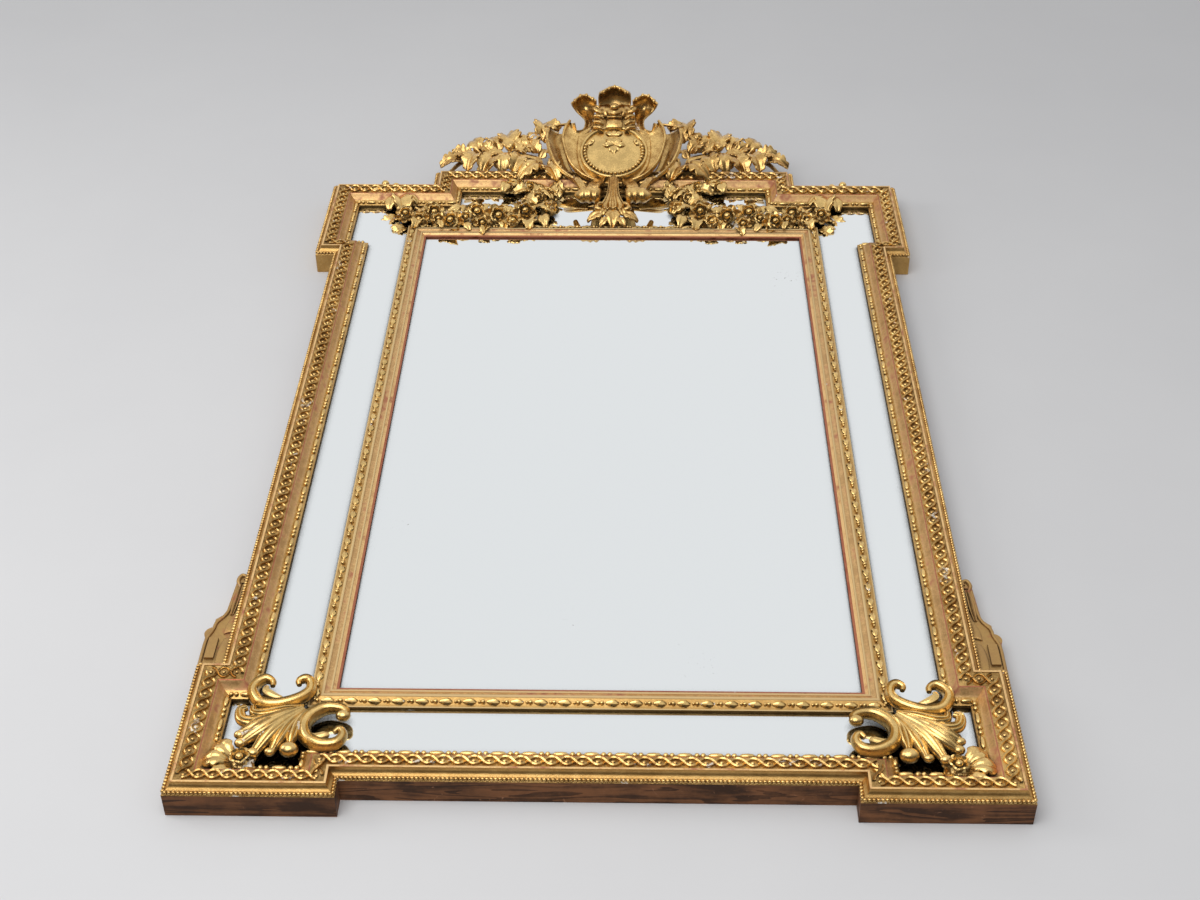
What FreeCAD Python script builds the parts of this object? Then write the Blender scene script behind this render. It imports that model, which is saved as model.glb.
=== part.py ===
import FreeCAD, Part
import math
import os

# Wall mirror with a gilt, eared frame, an inner frame, mirror strips between the two
# and a carved crest. Millimetres. X runs to the right, Z up, and the front faces -Y.
# The wall is the plane Y = 0, and the origin is on it, midway between the two rings.

V = FreeCAD.Vector
overrun = 2
closing_tolerance = 0.000001

# Glass and backing
sight_width = 630
sight_height = 1060
glass_back = 18
glass_thickness = 4
board_thickness = 10
board_count = 3
board_gap = 1
batten_thickness = 7
batten_width = 60
batten_inset = 190
cleat_width = 14
plate_gap = 0.5
rebate_gap = 1

# Bands of the outer moulding, from the outside in
rope_width = 4.5
cove_width = 5.5
ridge_width = 2.5
guilloche_width = 17
cord_width = 3.5
plain_width = 8.5
leaf_width = 8.5

# Levels of the outer moulding
side_height = 33
rope_rise = 4
ridge_rise = 9
ridge_step = 1
guilloche_drop = 4
cord_drop = 1
leaf_rise = 5
lip_rise = 4.5
rope_via_shares = (0.15, 0.8)
cove_via_shares = (0.65, 0.3)
guilloche_via_shares = (0.5, 0.22)
cord_via_shares = (0.5, 0.7)
plain_via_shares = (0.4, 0.5)
leaf_via_shares = (0.6, 0.85)

# Inner moulding, from the sight edge out
inner_lip = 3
bole_width = 3
bole_rise = 0.5
inner_cove_width = 10
inner_ridge_width = 3
inner_ridge_rise = 9.5
inner_step = 1
inner_leaf_width = 13
inner_leaf_rise = 5
inner_fillet_width = 4
inner_fillet_rise = 4.5
tongue_start = 12
tongue_width = 8
inner_cove_via_shares = (0.6, 0.35)
inner_leaf_via_shares = (0.5, 0.8)

# Strips of mirror and the eared outline
side_strip = 62
bottom_strip = 70.5
top_strip = 69
ear_step = 31
foot_step = 25
crown_step = 49
lower_ear_length = 196
lower_ear_height = 207
upper_ear_height = 226
crown_half = 316
carcase_width = 40
ledge_width = 14

# Hangers let into the back of the stiles
hang_drop = 160
ring_wire = 4
ring_width = 24
ring_drop = 20
ring_corner = 3
ring_wall_gap = 2.6
eye_clearance = 0.1
eye_length = 14
strap_thickness = 1.7
strap_width = 16
strap_length = 46
ring_rest_gap = 0.3
pocket_margin = 1.5
strap_screw_shares = (0.64, 0.88)

# Fasteners
screw_diameter = 3.5
screw_head = 6.5
screw_head_depth = 1.4
strap_screw_length = 11
frame_screw_length = 19
nail_diameter = 3
nail_length = 14
frame_screw_columns_shares = (-0.6, 0.6)
frame_screw_rows_shares = (0.15, 0.5, 0.85)
dowel_diameter = 8
dowel_length = 30

# Crest: a cartouche that leans forward over the crown
crest_lean = 20
medal_rise = 9
medal_stand = 24
medal_radius = 61
medal_seat = 1
medal_rim_width = 8
medal_rim_rise = 3.5
medal_dome_rise = 7
medal_edge = 9
medal_clearance = 0.2
shield_back = 16
shield_front = 14
shield_hollow_radius = 190
shield_hollow_depth = 3
wing_front = 4
wing_floor = 6
clasp_front = 8
cabochon_radius = 8
roll_radius = 16
roll_thickness = 5
roll_half = 29.5
roll_base = 112
roll_reach = 18
side_roll_width = 42
side_roll_angle = 40
side_roll_across = 46
side_roll_base = 94
side_roll_reach = 20
side_roll_radius = 13
corbel_half = 42
corbel_foot = 3
corbel_height = 78
corbel_tip = 12

# Half outlines of the crest, as shares of the medallion's radius
shield_shares = (
    (0, -1.08), (0.8, -1.02), (1.16, -0.55), ((1.52, 0.35), (1.36, 1.2)), (1.16, 1.24),
    ((0.98, 0.72), (0.78, 1.06)), (0.76, 1.38), (0.88, 1.64), (0.5, 1.86), (0, 1.86),
)
wing_shares = (
    (1.0, -0.68), (1.3, -0.64), ((1.9, 0.1), (1.84, 0.92)), (1.56, 1.08), (1.0, 1.08),
)
wing_hollow_shares = (
    (1.0, -0.54), (1.26, -0.52), ((1.8, 0.1), (1.74, 0.84)), (1.52, 0.98), (1.0, 0.98),
)
clasp_shares = (
    (0, 0.9), (0.3, 0.9), (0.27, 1.3), (0.56, 1.2), (0.58, 1.55), (0.5, 1.8), (0, 1.84),
)
cabochon_share = 1.64

# Apron: the hanging acanthus and its two curled feet under the medallion
apron_length = 128
apron_half = 66
apron_top_stand = 2
apron_tip_stand = 1
apron_thickness = 12
apron_shares = (
    (0, 1.0), (0.16, 0.9), ((0.7, 0.86), (0.66, 0.72)), ((0.5, 0.7), (0.3, 0.66)),
    ((0.46, 0.58), (0.36, 0.48)), (0.14, 0.32), (0.2, 0.2), (0.42, 0.36),
    ((0.7, 0.5), (0.98, 0.3)), (0.82, 0.2), (0.9, 0.06), (0.72, 0.02), (0.62, 0.16),
    (0.5, 0), (0, 0),
)

# Oak branches that stand on the crown
oak_start = 112
oak_length = 190
oak_height = 134
oak_off = 36
oak_lean = 14
oak_leaf_thickness = 7
oak_stem_width = 9
oak_stem_width_shares = (1.0, 0.84, 0.7)
oak_stem_shares = (
    ((0.06, -0.05), (0.12, 0.22), (0.32, 0.35)), ((0.3, 0.35), (0.66, 0.36), (0.95, 0.04)),
    ((0.1, 0.12), (0.28, 0.24), (0.5, 0.2)),
)
oak_leaf_width_share = 0.56
oak_leaf_shares = (
    (0.1, 0.3, -3, 0.72), (0.28, 0.34, 4, 0.52), (0.46, 0.36, 12, 0.5), (0.6, 0.36, 40, 0.46),
    (0.72, 0.32, 26, 0.38), (0.8, 0.24, 52, 0.32), (0.86, 0.14, 76, 0.27), (0.72, 0.3, 128, 0.36),
    (0.5, 0.34, 138, 0.4), (0.3, 0.32, 128, 0.4), (0.12, 0.24, 120, 0.36), (0.06, 0.2, -28, 0.34),
)
oak_leaf_step = 1.7
oak_layer_count = 5
acorn_radius = 9
acorn_shares = ((0.24, 0.44), (0.36, 0.28), (0.86, 0.3), (0.12, 0.1))
leaf_outline_shares = (
    (0, 0), (0.15, 0), (0.36, 0.14), ((0.72, 0.25), (0.52, 0.36)), ((0.95, 0.52), (0.64, 0.66)),
    ((0.66, 0.84), (0, 1.0)),
)

# Garlands over the top strip
garland_start = 104
garland_length = 280
garland_rise = 130
garland_back = 27
garland_stem_width = 18
garland_stem_depth = 14
garland_leaf_thickness = 9
garland_leaf_width_share = 0.5
garland_stem_shares = (
    ((0.04, 1.1), (0.0, 0.7), (0.04, 0.2)), ((0.02, 0.3), (0.14, 0.06), (0.4, 0.04)),
    ((0.36, 0.04), (0.7, 0.06), (0.9, 0.26)), ((0.88, 0.2), (0.98, 0.5), (0.98, 1.12)),
)
rose_radius = 24
rose_height = 20
rose_petals = 5
rose_inner_share = 0.68
rose_inner_height_share = 0.8
rose_bud_share = 0.36
rose_shares = (
    (0.04, 1.0, 0.9), (0.0, 0.62, 1.0), (0.06, 0.28, 1.0), (0.22, 0.06, 1.05), (0.4, 0.04, 0.95),
    (0.57, 0.08, 1.05), (0.74, 0.12, 0.95), (0.9, 0.26, 0.9), (0.96, 0.56, 0.8), (0.99, 0.86, 0.7),
)
garland_leaf_shares = (
    (0.1, 1.0, 60, 0.2), (-0.02, 0.8, -62, 0.15), (0.1, 0.66, 55, 0.18), (-0.02, 0.42, -70, 0.16),
    (0.04, 0.14, -160, 0.17), (0.16, 0.02, 170, 0.16), (0.32, 0.16, 20, 0.15), (0.48, -0.02, 165, 0.15),
    (0.5, 0.14, 10, 0.16), (0.66, 0.0, 190, 0.14), (0.68, 0.18, -15, 0.16), (0.84, 0.16, 175, 0.17),
    (0.9, 0.2, 100, 0.17), (0.97, 0.5, 75, 0.16), (0.94, 0.72, -50, 0.14),
)
berry_radius = 9
berry_shares = ((0.95, 1.04), (1.02, 1.0), (0.98, 1.14))

# Acanthus over each lower corner of the inner frame
acanthus_span = 78
acanthus_back = 29
acanthus_thickness = 10
scroll_width = 12
scroll_rise = 4
scroll_eye_radius = 9
acanthus_shares = (
    (-0.12, 0.02), (0.22, 0.02), (0.5, 0.2), ((0.74, 0.09), (0.9, 0.22)), (0.8, 0.4),
    ((0.9, 0.5), (0.84, 0.62)), ((0.94, 0.75), (0.8, 0.86)), ((0.7, 0.97), (0.56, 0.9)),
    ((0.45, 1.0), (0.34, 0.9)), ((0.2, 1.02), (0.06, 0.86)), (0.0, 0.62), (-0.06, 0.4),
)
scroll_shares = (
    ((0.76, -0.18), (0.34, 0.12), (-0.06, -0.2)), ((-0.5, 0.2), (-0.02, 0.52), (-0.56, 0.8)),
)
scroll_eye_shares = ((0.68, -0.24), (0.02, -0.26), (-0.56, 0.3), (-0.58, 0.7))

# Rosette in each lower ear and console beside each stile
corner_rose_radius = 19
corner_rose_across = 25
corner_rose_up = 7
corner_rose_back = 25
corner_rose_height = 22
corner_leaf_length = 44
corner_leaf_width = 26
corner_leaf_thickness = 9
corner_leaf_turns = (90, 135, 180)
console_height = 178
console_half = 36
console_front = 22
console_back = 4
console_panel_rise = 3
console_knob_radius = 7
console_shares = (
    (0, 0), (1.0, 0), (1.0, 0.34), ((0.98, 0.42), (0.8, 0.44)), (0.8, 0.52), (0.5, 0.58),
    (0.42, 0.9), (0, 0.9),
)
console_panel_shares = ((0.5, 0.12), (0.82, 0.12), (0.82, 0.32), (0.5, 0.32))
console_knob_share = 0.93

# Places worked out from the sizes above
glass_front = glass_back + glass_thickness
board_back = glass_back - board_thickness
rope_top = side_height + rope_rise
ridge_height = rope_top + ridge_rise
lip_top = glass_front + lip_rise
sight_half = sight_width / 2
inner_width = bole_width + inner_cove_width + inner_ridge_width + inner_leaf_width + inner_fillet_width
inner_top = glass_front + inner_ridge_rise
moulding_width = (rope_width + cove_width + ridge_width + guilloche_width + cord_width
                  + plain_width + leaf_width)
stile_half = sight_half + inner_width + side_strip + moulding_width
ear_half = stile_half + ear_step
rail_bottom = -(inner_width + bottom_strip + moulding_width)
foot_bottom = rail_bottom - foot_step
foot_x = ear_half - lower_ear_length
lower_ear_top = foot_bottom + lower_ear_height
ear_top = sight_height + inner_width + top_strip + moulding_width
upper_ear_bottom = ear_top - upper_ear_height
crown_top = ear_top + crown_step
rebate = carcase_width + rebate_gap
tongue_end = tongue_start + tongue_width
hang_up = sight_height - hang_drop
ring_radius = ring_wire / 2
ring_off = ring_wall_gap + ring_radius
eye_radius = ring_radius + eye_clearance + strap_thickness + ring_rest_gap
pocket_depth = ring_off + eye_radius
ring_x = stile_half - carcase_width / 2
garland_low = sight_height + inner_width


class Plane:
    """A working plane. across and along lie in it, and out stands off it."""

    def __init__(self, origin, across, along):
        self.origin = origin
        self.across = across
        self.along = along
        self.out = across.cross(along)

    def at(self, a, b, c=0):
        return self.origin + self.across * a + self.along * b + self.out * c

    def turned(self, a, b, degrees, c=0):
        """The same plane with its origin at (a, b, c), turned in itself from along to across."""
        turn = math.radians(degrees)
        along = self.along * math.cos(turn) + self.across * math.sin(turn)
        across = self.across * math.cos(turn) - self.along * math.sin(turn)
        return Plane(self.at(a, b, c), across, along)

    def wire(self, steps, c=0):
        """A closed wire. A step is a point, or a pair of points for an arc through the first."""
        here = first = self.at(*steps[0], c)
        edges = []
        for step in steps[1:]:
            if isinstance(step[0], tuple):
                via, end = (self.at(*point, c) for point in step)
                edges.append(Part.Arc(here, via, end).toShape())
            else:
                end = self.at(*step, c)
                edges.append(Part.LineSegment(here, end).toShape())
            here = end
        if not here.isEqual(first, closing_tolerance):
            edges.append(Part.LineSegment(here, first).toShape())
        return Part.Wire(edges)

    def prism(self, steps, low, high):
        return Part.Face(self.wire(steps, low)).extrude(self.out * (high - low))

    def box(self, a0, a1, b0, b1, low, high):
        return self.prism(((a0, b0), (a1, b0), (a1, b1), (a0, b1)), low, high)

    def rod(self, a, b, radius, low, high):
        return Part.makeCylinder(radius, high - low, self.at(a, b, low), self.out)

    def turned_solid(self, steps):
        """A solid of revolution about out, from a half section of (radius, level) steps."""
        section = Plane(self.origin, self.across, self.out)
        return Part.Face(section.wire(steps)).revolve(self.origin, self.out, 360)


X = V(1, 0, 0)
Z = V(0, 0, 1)
front = Plane(V(0, 0, -hang_up), X, Z)


def scaled(steps, width, height):
    """Steps given in shares, as lengths."""
    def size(point):
        return point[0] * width, point[1] * height
    return tuple(tuple(size(p) for p in s) if isinstance(s[0], tuple) else size(s) for s in steps)


def both_sides(steps):
    """A half outline from the centre line to the centre line, closed by its mirror image."""
    ends = [step[1] if isinstance(step[0], tuple) else step for step in steps]
    vias = [step[0] if isinstance(step[0], tuple) else None for step in steps]
    back = []
    for i in range(len(steps) - 1, 0, -1):
        end = (-ends[i - 1][0], ends[i - 1][1])
        if end == ends[i]:
            continue
        back.append(((-vias[i][0], vias[i][1]), end) if vias[i] else end)
    return tuple(steps) + tuple(back[:-1])


def mirrored(shape):
    return shape.mirror(V(0, 0, 0), X)


def joined(shapes):
    return shapes[0].fuse(list(shapes[1:])) if len(shapes) > 1 else shapes[0]


def arc_band(start, via, end, width):
    """Outline of a curved bar of one width whose middle line is the arc through three points."""
    (ax, ay), (bx, by), (cx, cy) = start, via, end
    d = 2 * (ax * (by - cy) + bx * (cy - ay) + cx * (ay - by))
    a2, b2, c2 = ax * ax + ay * ay, bx * bx + by * by, cx * cx + cy * cy
    ux = (a2 * (by - cy) + b2 * (cy - ay) + c2 * (ay - by)) / d
    uy = (a2 * (cx - bx) + b2 * (ax - cx) + c2 * (bx - ax)) / d

    def moved(point, side):
        dx, dy = point[0] - ux, point[1] - uy
        grow = 1 + side * width / 2 / math.hypot(dx, dy)
        return ux + dx * grow, uy + dy * grow
    outside = (moved(start, 1), (moved(via, 1), moved(end, 1)))
    return outside + (moved(end, -1), (moved(via, -1), moved(start, -1)))


def main_solid(shape):
    """The carved piece itself, without chips that a seat cut loose."""
    return max(shape.Solids, key=lambda solid: solid.Volume)


# The eared outline, at any inset from the outside
def right_corners(inset):
    return [
        (foot_x + inset, rail_bottom + inset),
        (foot_x + inset, foot_bottom + inset),
        (ear_half - inset, foot_bottom + inset),
        (ear_half - inset, lower_ear_top - inset),
        (stile_half - inset, lower_ear_top - inset),
        (stile_half - inset, upper_ear_bottom + inset),
        (ear_half - inset, upper_ear_bottom + inset),
        (ear_half - inset, ear_top - inset),
        (crown_half - inset, ear_top - inset),
        (crown_half - inset, crown_top - inset),
    ]


def outer_corners(inset):
    right = right_corners(inset)
    return right + [(-x, up) for x, up in reversed(right)]


def inner_corners(inset):
    side = sight_half + inset
    return [(-side, -inset), (side, -inset), (side, sight_height + inset), (-side, sight_height + inset)]


def mitred_run(profile, width, corners, i, j):
    """A moulding along one side of an outline, mitred at both ends."""
    start, end = corners(0)[i], corners(0)[j]
    along_run = V(end[0] - start[0], 0, end[1] - start[1])
    moved = corners(1)[i]
    inward = V(moved[0] - start[0], 0, moved[1] - start[1])
    inward = inward - along_run * (inward.dot(along_run) / along_run.dot(along_run))
    middle = front.at((start[0] + end[0]) / 2, (start[1] + end[1]) / 2)
    reach = along_run.Length / 2 + width + overrun
    bar = Plane(middle, inward, front.out).prism(profile, -reach, reach)
    outside, inside = corners(-overrun), corners(width + overrun)
    plan = (outside[i], outside[j], inside[j], inside[i])
    return bar.common(front.prism(plan, 0, ridge_height + overrun))


def outer_profile():
    """Section of the gilt outer moulding, as (inset, distance off the wall)."""
    bands = (rope_width, cove_width, ridge_width, guilloche_width, cord_width, plain_width, leaf_width)
    edges = [sum(bands[:i]) for i in range(len(bands) + 1)]
    guilloche_low = ridge_height - guilloche_drop
    plain_top = guilloche_low - cord_drop
    plain_low = lip_top + leaf_rise
    guilloche_top = ridge_height - ridge_step

    def arc(i, j, start_level, end_level, shares):
        across = edges[i] + (edges[j] - edges[i]) * shares[0]
        level = start_level + (end_level - start_level) * shares[1]
        return (across, level), (edges[j], end_level)
    return (
        (edges[0], side_height),
        arc(0, 1, side_height, rope_top, rope_via_shares),
        arc(1, 2, rope_top, ridge_height, cove_via_shares),
        (edges[3], ridge_height),
        (edges[3], guilloche_top),
        arc(3, 4, guilloche_top, guilloche_low, guilloche_via_shares),
        arc(4, 5, guilloche_low, plain_top, cord_via_shares),
        arc(5, 6, plain_top, plain_low, plain_via_shares),
        arc(6, 7, plain_low, lip_top, leaf_via_shares),
        (edges[7], glass_front),
        (ledge_width, glass_front),
        (ledge_width, side_height),
    )


def inner_profile():
    """Section of the inner moulding, as (distance from the sight edge, distance off the wall)."""
    lip = glass_front + inner_lip
    bole = lip + bole_rise
    ridge_start = bole_width + inner_cove_width
    leaf_start = ridge_start + inner_ridge_width
    leaf_end = leaf_start + inner_leaf_width
    leaf_top = inner_top - inner_step
    leaf_low = glass_front + inner_leaf_rise
    fillet = glass_front + inner_fillet_rise
    cove_via = (bole_width + inner_cove_width * inner_cove_via_shares[0],
                bole + (inner_top - bole) * inner_cove_via_shares[1])
    leaf_via = (leaf_start + inner_leaf_width * inner_leaf_via_shares[0],
                leaf_low + (leaf_top - leaf_low) * inner_leaf_via_shares[1])
    return (
        (0, glass_front), (0, lip), (bole_width, bole), (cove_via, (ridge_start, inner_top)),
        (leaf_start, inner_top), (leaf_start, leaf_top), (leaf_via, (leaf_end, leaf_low)),
        (leaf_end, fillet), (inner_width, fillet), (inner_width, glass_front),
        (tongue_end, glass_front), (tongue_end, glass_back), (tongue_start, glass_back),
        (tongue_start, glass_front),
    )


def outer_mouldings():
    section = outer_profile()

    def runs(*sides):
        return joined([mitred_run(section, moulding_width, outer_corners, i, i + 1) for i in sides])
    right = {
        "moulding_lower_ear_base": runs(0, 1),
        "moulding_lower_ear_side": runs(2, 3),
        "moulding_stile": runs(4),
        "moulding_upper_ear_side": runs(5, 6),
        "moulding_upper_ear_top": runs(7, 8),
    }
    last = len(outer_corners(0)) - 1
    nodes = {"moulding_crown": runs(len(right_corners(0)) - 1)}
    nodes["moulding_bottom"] = mitred_run(section, moulding_width, outer_corners, last, 0)
    for name, shape in right.items():
        nodes[name + "_right"] = shape
        nodes[name + "_left"] = mirrored(shape)
    return nodes


def inner_mouldings():
    section = inner_profile()
    names = ("bottom", "right", "top", "left")
    count = len(names)
    return {"inner_moulding_" + name: mitred_run(section, inner_width, inner_corners, i, (i + 1) % count)
            for i, name in enumerate(names)}


def carcase():
    """Wooden core under the outer moulding: a wide part behind the glass line and a ledge outside."""
    def lower_ear(w):
        return (
            (foot_x, rail_bottom), (foot_x, foot_bottom), (ear_half, foot_bottom), (ear_half, lower_ear_top),
            (stile_half - w, lower_ear_top), (stile_half - w, lower_ear_top - w),
            (ear_half - w, lower_ear_top - w), (ear_half - w, foot_bottom + w), (foot_x + w, foot_bottom + w),
            (foot_x + w, rail_bottom + w), (foot_x, rail_bottom + w),
        )

    def stile(w):
        return ((stile_half - w, lower_ear_top), (stile_half, lower_ear_top),
                (stile_half, upper_ear_bottom), (stile_half - w, upper_ear_bottom))

    def upper_ear(w):
        return (
            (stile_half - w, upper_ear_bottom), (ear_half, upper_ear_bottom), (ear_half, ear_top),
            (crown_half, ear_top), (crown_half, ear_top - w), (ear_half - w, ear_top - w),
            (ear_half - w, upper_ear_bottom + w), (stile_half - w, upper_ear_bottom + w),
        )

    def crown(w):
        return (
            (crown_half, ear_top - w), (crown_half, crown_top), (-crown_half, crown_top),
            (-crown_half, ear_top - w), (w - crown_half, ear_top - w), (w - crown_half, crown_top - w),
            (crown_half - w, crown_top - w), (crown_half - w, ear_top - w),
        )

    def bottom(w):
        return ((-foot_x, rail_bottom), (foot_x, rail_bottom), (foot_x, rail_bottom + w),
                (-foot_x, rail_bottom + w))

    def piece(outline):
        wide = front.prism(outline(carcase_width), 0, glass_front)
        return wide.fuse(front.prism(outline(ledge_width), glass_front, side_height)).removeSplitter()
    nodes = {"carcase_bottom_rail": piece(bottom), "carcase_crown": piece(crown)}
    for name, outline in (("lower_ear", lower_ear), ("stile", stile), ("upper_ear", upper_ear)):
        shape = piece(outline)
        nodes["carcase_" + name + "_right"] = shape
        nodes["carcase_" + name + "_left"] = mirrored(shape)
    return nodes


def mirrors():
    """The central plate and the four strips, split beside the inner frame's tongue."""
    whole = outer_corners(rebate)
    tongue = sight_half + tongue_end + rebate_gap
    low = -(tongue_end + rebate_gap)
    high = sight_height + tongue_end + rebate_gap
    sheet = front.prism(whole, glass_back, glass_front)
    reach = crown_top + ear_half

    def part_of(a0, a1, b0, b1):
        return sheet.common(front.box(a0, a1, b0, b1, glass_back - overrun, glass_front + overrun))
    centre_edge = tongue_start - rebate_gap
    centre = front.box(-sight_half - centre_edge, sight_half + centre_edge, -centre_edge,
                       sight_height + centre_edge, glass_back, glass_front)
    middle = tongue - plate_gap
    right = part_of(tongue, reach, -reach, reach)
    return {
        "mirror_centre": centre,
        "mirror_right": right,
        "mirror_left": mirrored(right),
        "mirror_bottom": part_of(-middle, middle, -reach, low),
        "mirror_top": part_of(-middle, middle, high, reach),
    }


def backing():
    """Vertical boards in the rebate, with cleats round the edge and battens across."""
    whole = outer_corners(rebate)
    half = ear_half - rebate
    pitch = 2 * half / board_count
    sheet = front.prism(whole, board_back, glass_back)
    nodes = {}
    for i in range(board_count):
        left = -half + pitch * i + board_gap / 2
        strip = front.box(left, left + pitch - board_gap, foot_bottom, crown_top, board_back - overrun,
                          glass_back + overrun)
        nodes["backboard_%d" % (i + 1)] = sheet.common(strip)
    side = stile_half - rebate
    low = board_back - batten_thickness
    cleat = front.box(side - cleat_width, side, lower_ear_top, upper_ear_bottom, low, board_back)
    nodes["cleat_right"] = cleat
    nodes["cleat_left"] = mirrored(cleat)
    reach = side - cleat_width - rebate_gap
    for name, up in (("lower", batten_inset), ("upper", sight_height - batten_inset)):
        nodes["batten_" + name] = front.box(-reach, reach, up - batten_width / 2, up + batten_width / 2,
                                            low, board_back)
    return nodes


def hangers():
    """A strap with a rolled eye and a D-shaped ring, in a pocket in the back of each stile."""
    eye = Plane(front.at(ring_x, hang_up, ring_off), Z, front.out)
    strap_low = pocket_depth - strap_thickness
    half = strap_width / 2
    leaf = front.box(ring_x - half, ring_x + half, hang_up - strap_length, hang_up, strap_low, pocket_depth)
    roll = eye.rod(0, 0, eye_radius, -eye_length / 2, eye_length / 2)
    bore = eye.rod(0, 0, ring_radius + eye_clearance, -strap_width, strap_width)
    strap = leaf.fuse(roll).cut(bore)
    wide = ring_width / 2
    bar = wide - ring_corner
    bend = wide - ring_corner * (1 - math.sqrt(0.5))
    dip = ring_corner * (1 - math.sqrt(0.5))
    turn = ring_drop - wide
    flat = Plane(eye.origin, X, Z)
    path = flat.wire((
        (-bar, 0), (bar, 0), ((bend, -dip), (wide, -ring_corner)), (wide, -turn),
        ((0, -ring_drop), (-wide, -turn)), (-wide, -ring_corner), ((-bend, -dip), (-bar, 0)),
    ))
    section = Part.Wire(Part.Circle(flat.at(0, 0), X, ring_radius).toShape())
    ring = path.makePipeShell([section], True, True)
    wide_pocket = wide + ring_radius + pocket_margin
    tall = ring_drop + ring_radius + pocket_margin
    pocket = front.box(ring_x - wide_pocket, ring_x + wide_pocket, hang_up - strap_length - pocket_margin,
                       hang_up + tall, -overrun, pocket_depth)
    return strap, ring, pocket


def screw(plane, a, b, head_level, length):
    """A countersunk screw whose head is flush at head_level and whose tip is along out."""
    head = Part.makeCone(screw_head / 2, screw_diameter / 2, screw_head_depth, plane.at(a, b, head_level),
                         plane.out)
    return head.fuse(plane.rod(a, b, screw_diameter / 2, head_level, head_level + length))


def leaning_plane(x, rise, off, degrees):
    """A plane above the crown that leans forward from the wall."""
    lean = math.radians(degrees)
    along = Z * math.cos(lean) + front.out * math.sin(lean)
    return Plane(front.at(x, crown_top + rise, off), X, along)


def crest_plane():
    return leaning_plane(0, medal_rise, ridge_height + medal_stand, crest_lean)


def hook(plane, across_half, base, reach, radius, level):
    """A strap that rises from base and rolls forward through a half turn."""
    side = Plane(plane.origin, plane.along, plane.out)
    top = base + reach
    middle = level + radius
    thin = radius - roll_thickness
    steps = (
        (base, level), (top, level), ((top + radius, middle), (top, middle + radius)),
        (top, middle + thin), ((top + thin, middle), (top, middle - thin)), (base, middle - thin),
    )
    return side.prism(steps, -across_half, across_half)


def crest():
    """The cartouche, its medallion, rolls, clasp, outer wings and the corbel behind it."""
    plane = crest_plane()
    r = medal_radius
    seat = -shield_hollow_depth
    shield = plane.prism(both_sides(scaled(shield_shares, r, r)), -shield_back, shield_front)
    tall = 2 * r + roll_base
    hollow = Part.makeCylinder(shield_hollow_radius, 2 * tall,
                               plane.at(0, -tall, shield_hollow_radius + seat), plane.along)
    floor = seat - medal_seat
    pocket = plane.rod(0, 0, r + medal_clearance, floor, shield_front + overrun)
    shield = shield.cut(hollow).cut(pocket)
    rim = r - medal_rim_width
    edge = floor + medal_edge
    ball = (rim * rim + medal_dome_rise * medal_dome_rise) / (2 * medal_dome_rise)
    crown = edge + medal_dome_rise
    halfway = crown - ball + math.sqrt(ball * ball - rim * rim / 4)
    medallion = plane.turned_solid((
        (0, floor), (r, floor), (r, edge),
        ((r - medal_rim_width / 2, edge + medal_rim_rise), (rim, edge)),
        ((rim / 2, halfway), (0, crown)),
    ))
    wing = plane.prism(scaled(wing_shares, r, r), -shield_back, wing_front)
    wing_pocket = plane.prism(scaled(wing_hollow_shares, r, r), wing_floor - shield_back,
                              wing_front + overrun)
    wing = wing.cut(wing_pocket).cut(shield)
    clasp = plane.prism(both_sides(scaled(clasp_shares, r, r)), seat, clasp_front)
    clasp = clasp.fuse(Part.makeSphere(cabochon_radius, plane.at(0, cabochon_share * r, clasp_front)))
    clasp = main_solid(clasp.cut(shield).cut(medallion))
    roll = hook(plane, roll_half, roll_base, roll_reach, roll_radius, -shield_back + roll_thickness)
    roll = roll.cut(shield).cut(clasp)
    turned = plane.turned(side_roll_across, side_roll_base, side_roll_angle)
    side_roll = hook(turned, side_roll_width / 2, 0, side_roll_reach, side_roll_radius,
                     -shield_back + roll_thickness)
    side_roll = side_roll.cut(clasp).cut(roll)
    shield = joined([shield, wing, mirrored(wing), side_roll, mirrored(side_roll)])
    wall_side = Plane(front.origin, Z, front.out)
    foot = plane.at(0, 0, -shield_back)
    lean = math.tan(math.radians(crest_lean))
    foot_off = -foot.y + (crown_top - hang_up - foot.z) * lean
    corbel_block = wall_side.prism((
        (crown_top, corbel_foot), (crown_top, foot_off),
        (crown_top + corbel_height, foot_off + corbel_height * lean),
        (crown_top + corbel_height, foot_off + corbel_height * lean - corbel_tip),
        (crown_top + corbel_tip, corbel_foot),
    ), -corbel_half, corbel_half)
    return {
        "crest_cartouche": shield,
        "crest_medallion": medallion,
        "crest_clasp": clasp,
        "crest_roll_centre": roll,
        "crest_corbel": corbel_block,
    }


def apron():
    """Acanthus leaf and curled feet that hang from the medallion over the top strip."""
    plane = crest_plane()
    top = plane.at(0, -medal_radius, -shield_hollow_depth)
    tip_off = inner_top + apron_tip_stand
    drop = -top.y + apron_top_stand - tip_off
    along = (Z * -apron_length - front.out * drop).normalize()
    origin = V(0, top.y - apron_top_stand, top.z)
    leaf = Plane(origin, -X, along)
    return leaf.prism(both_sides(scaled(apron_shares, apron_half, apron_length)), 0, apron_thickness)


def leaf_blade(plane, length, width, thickness):
    outline = both_sides(scaled(leaf_outline_shares, width / 2, length))
    return plane.prism(outline, 0, thickness)


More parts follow.
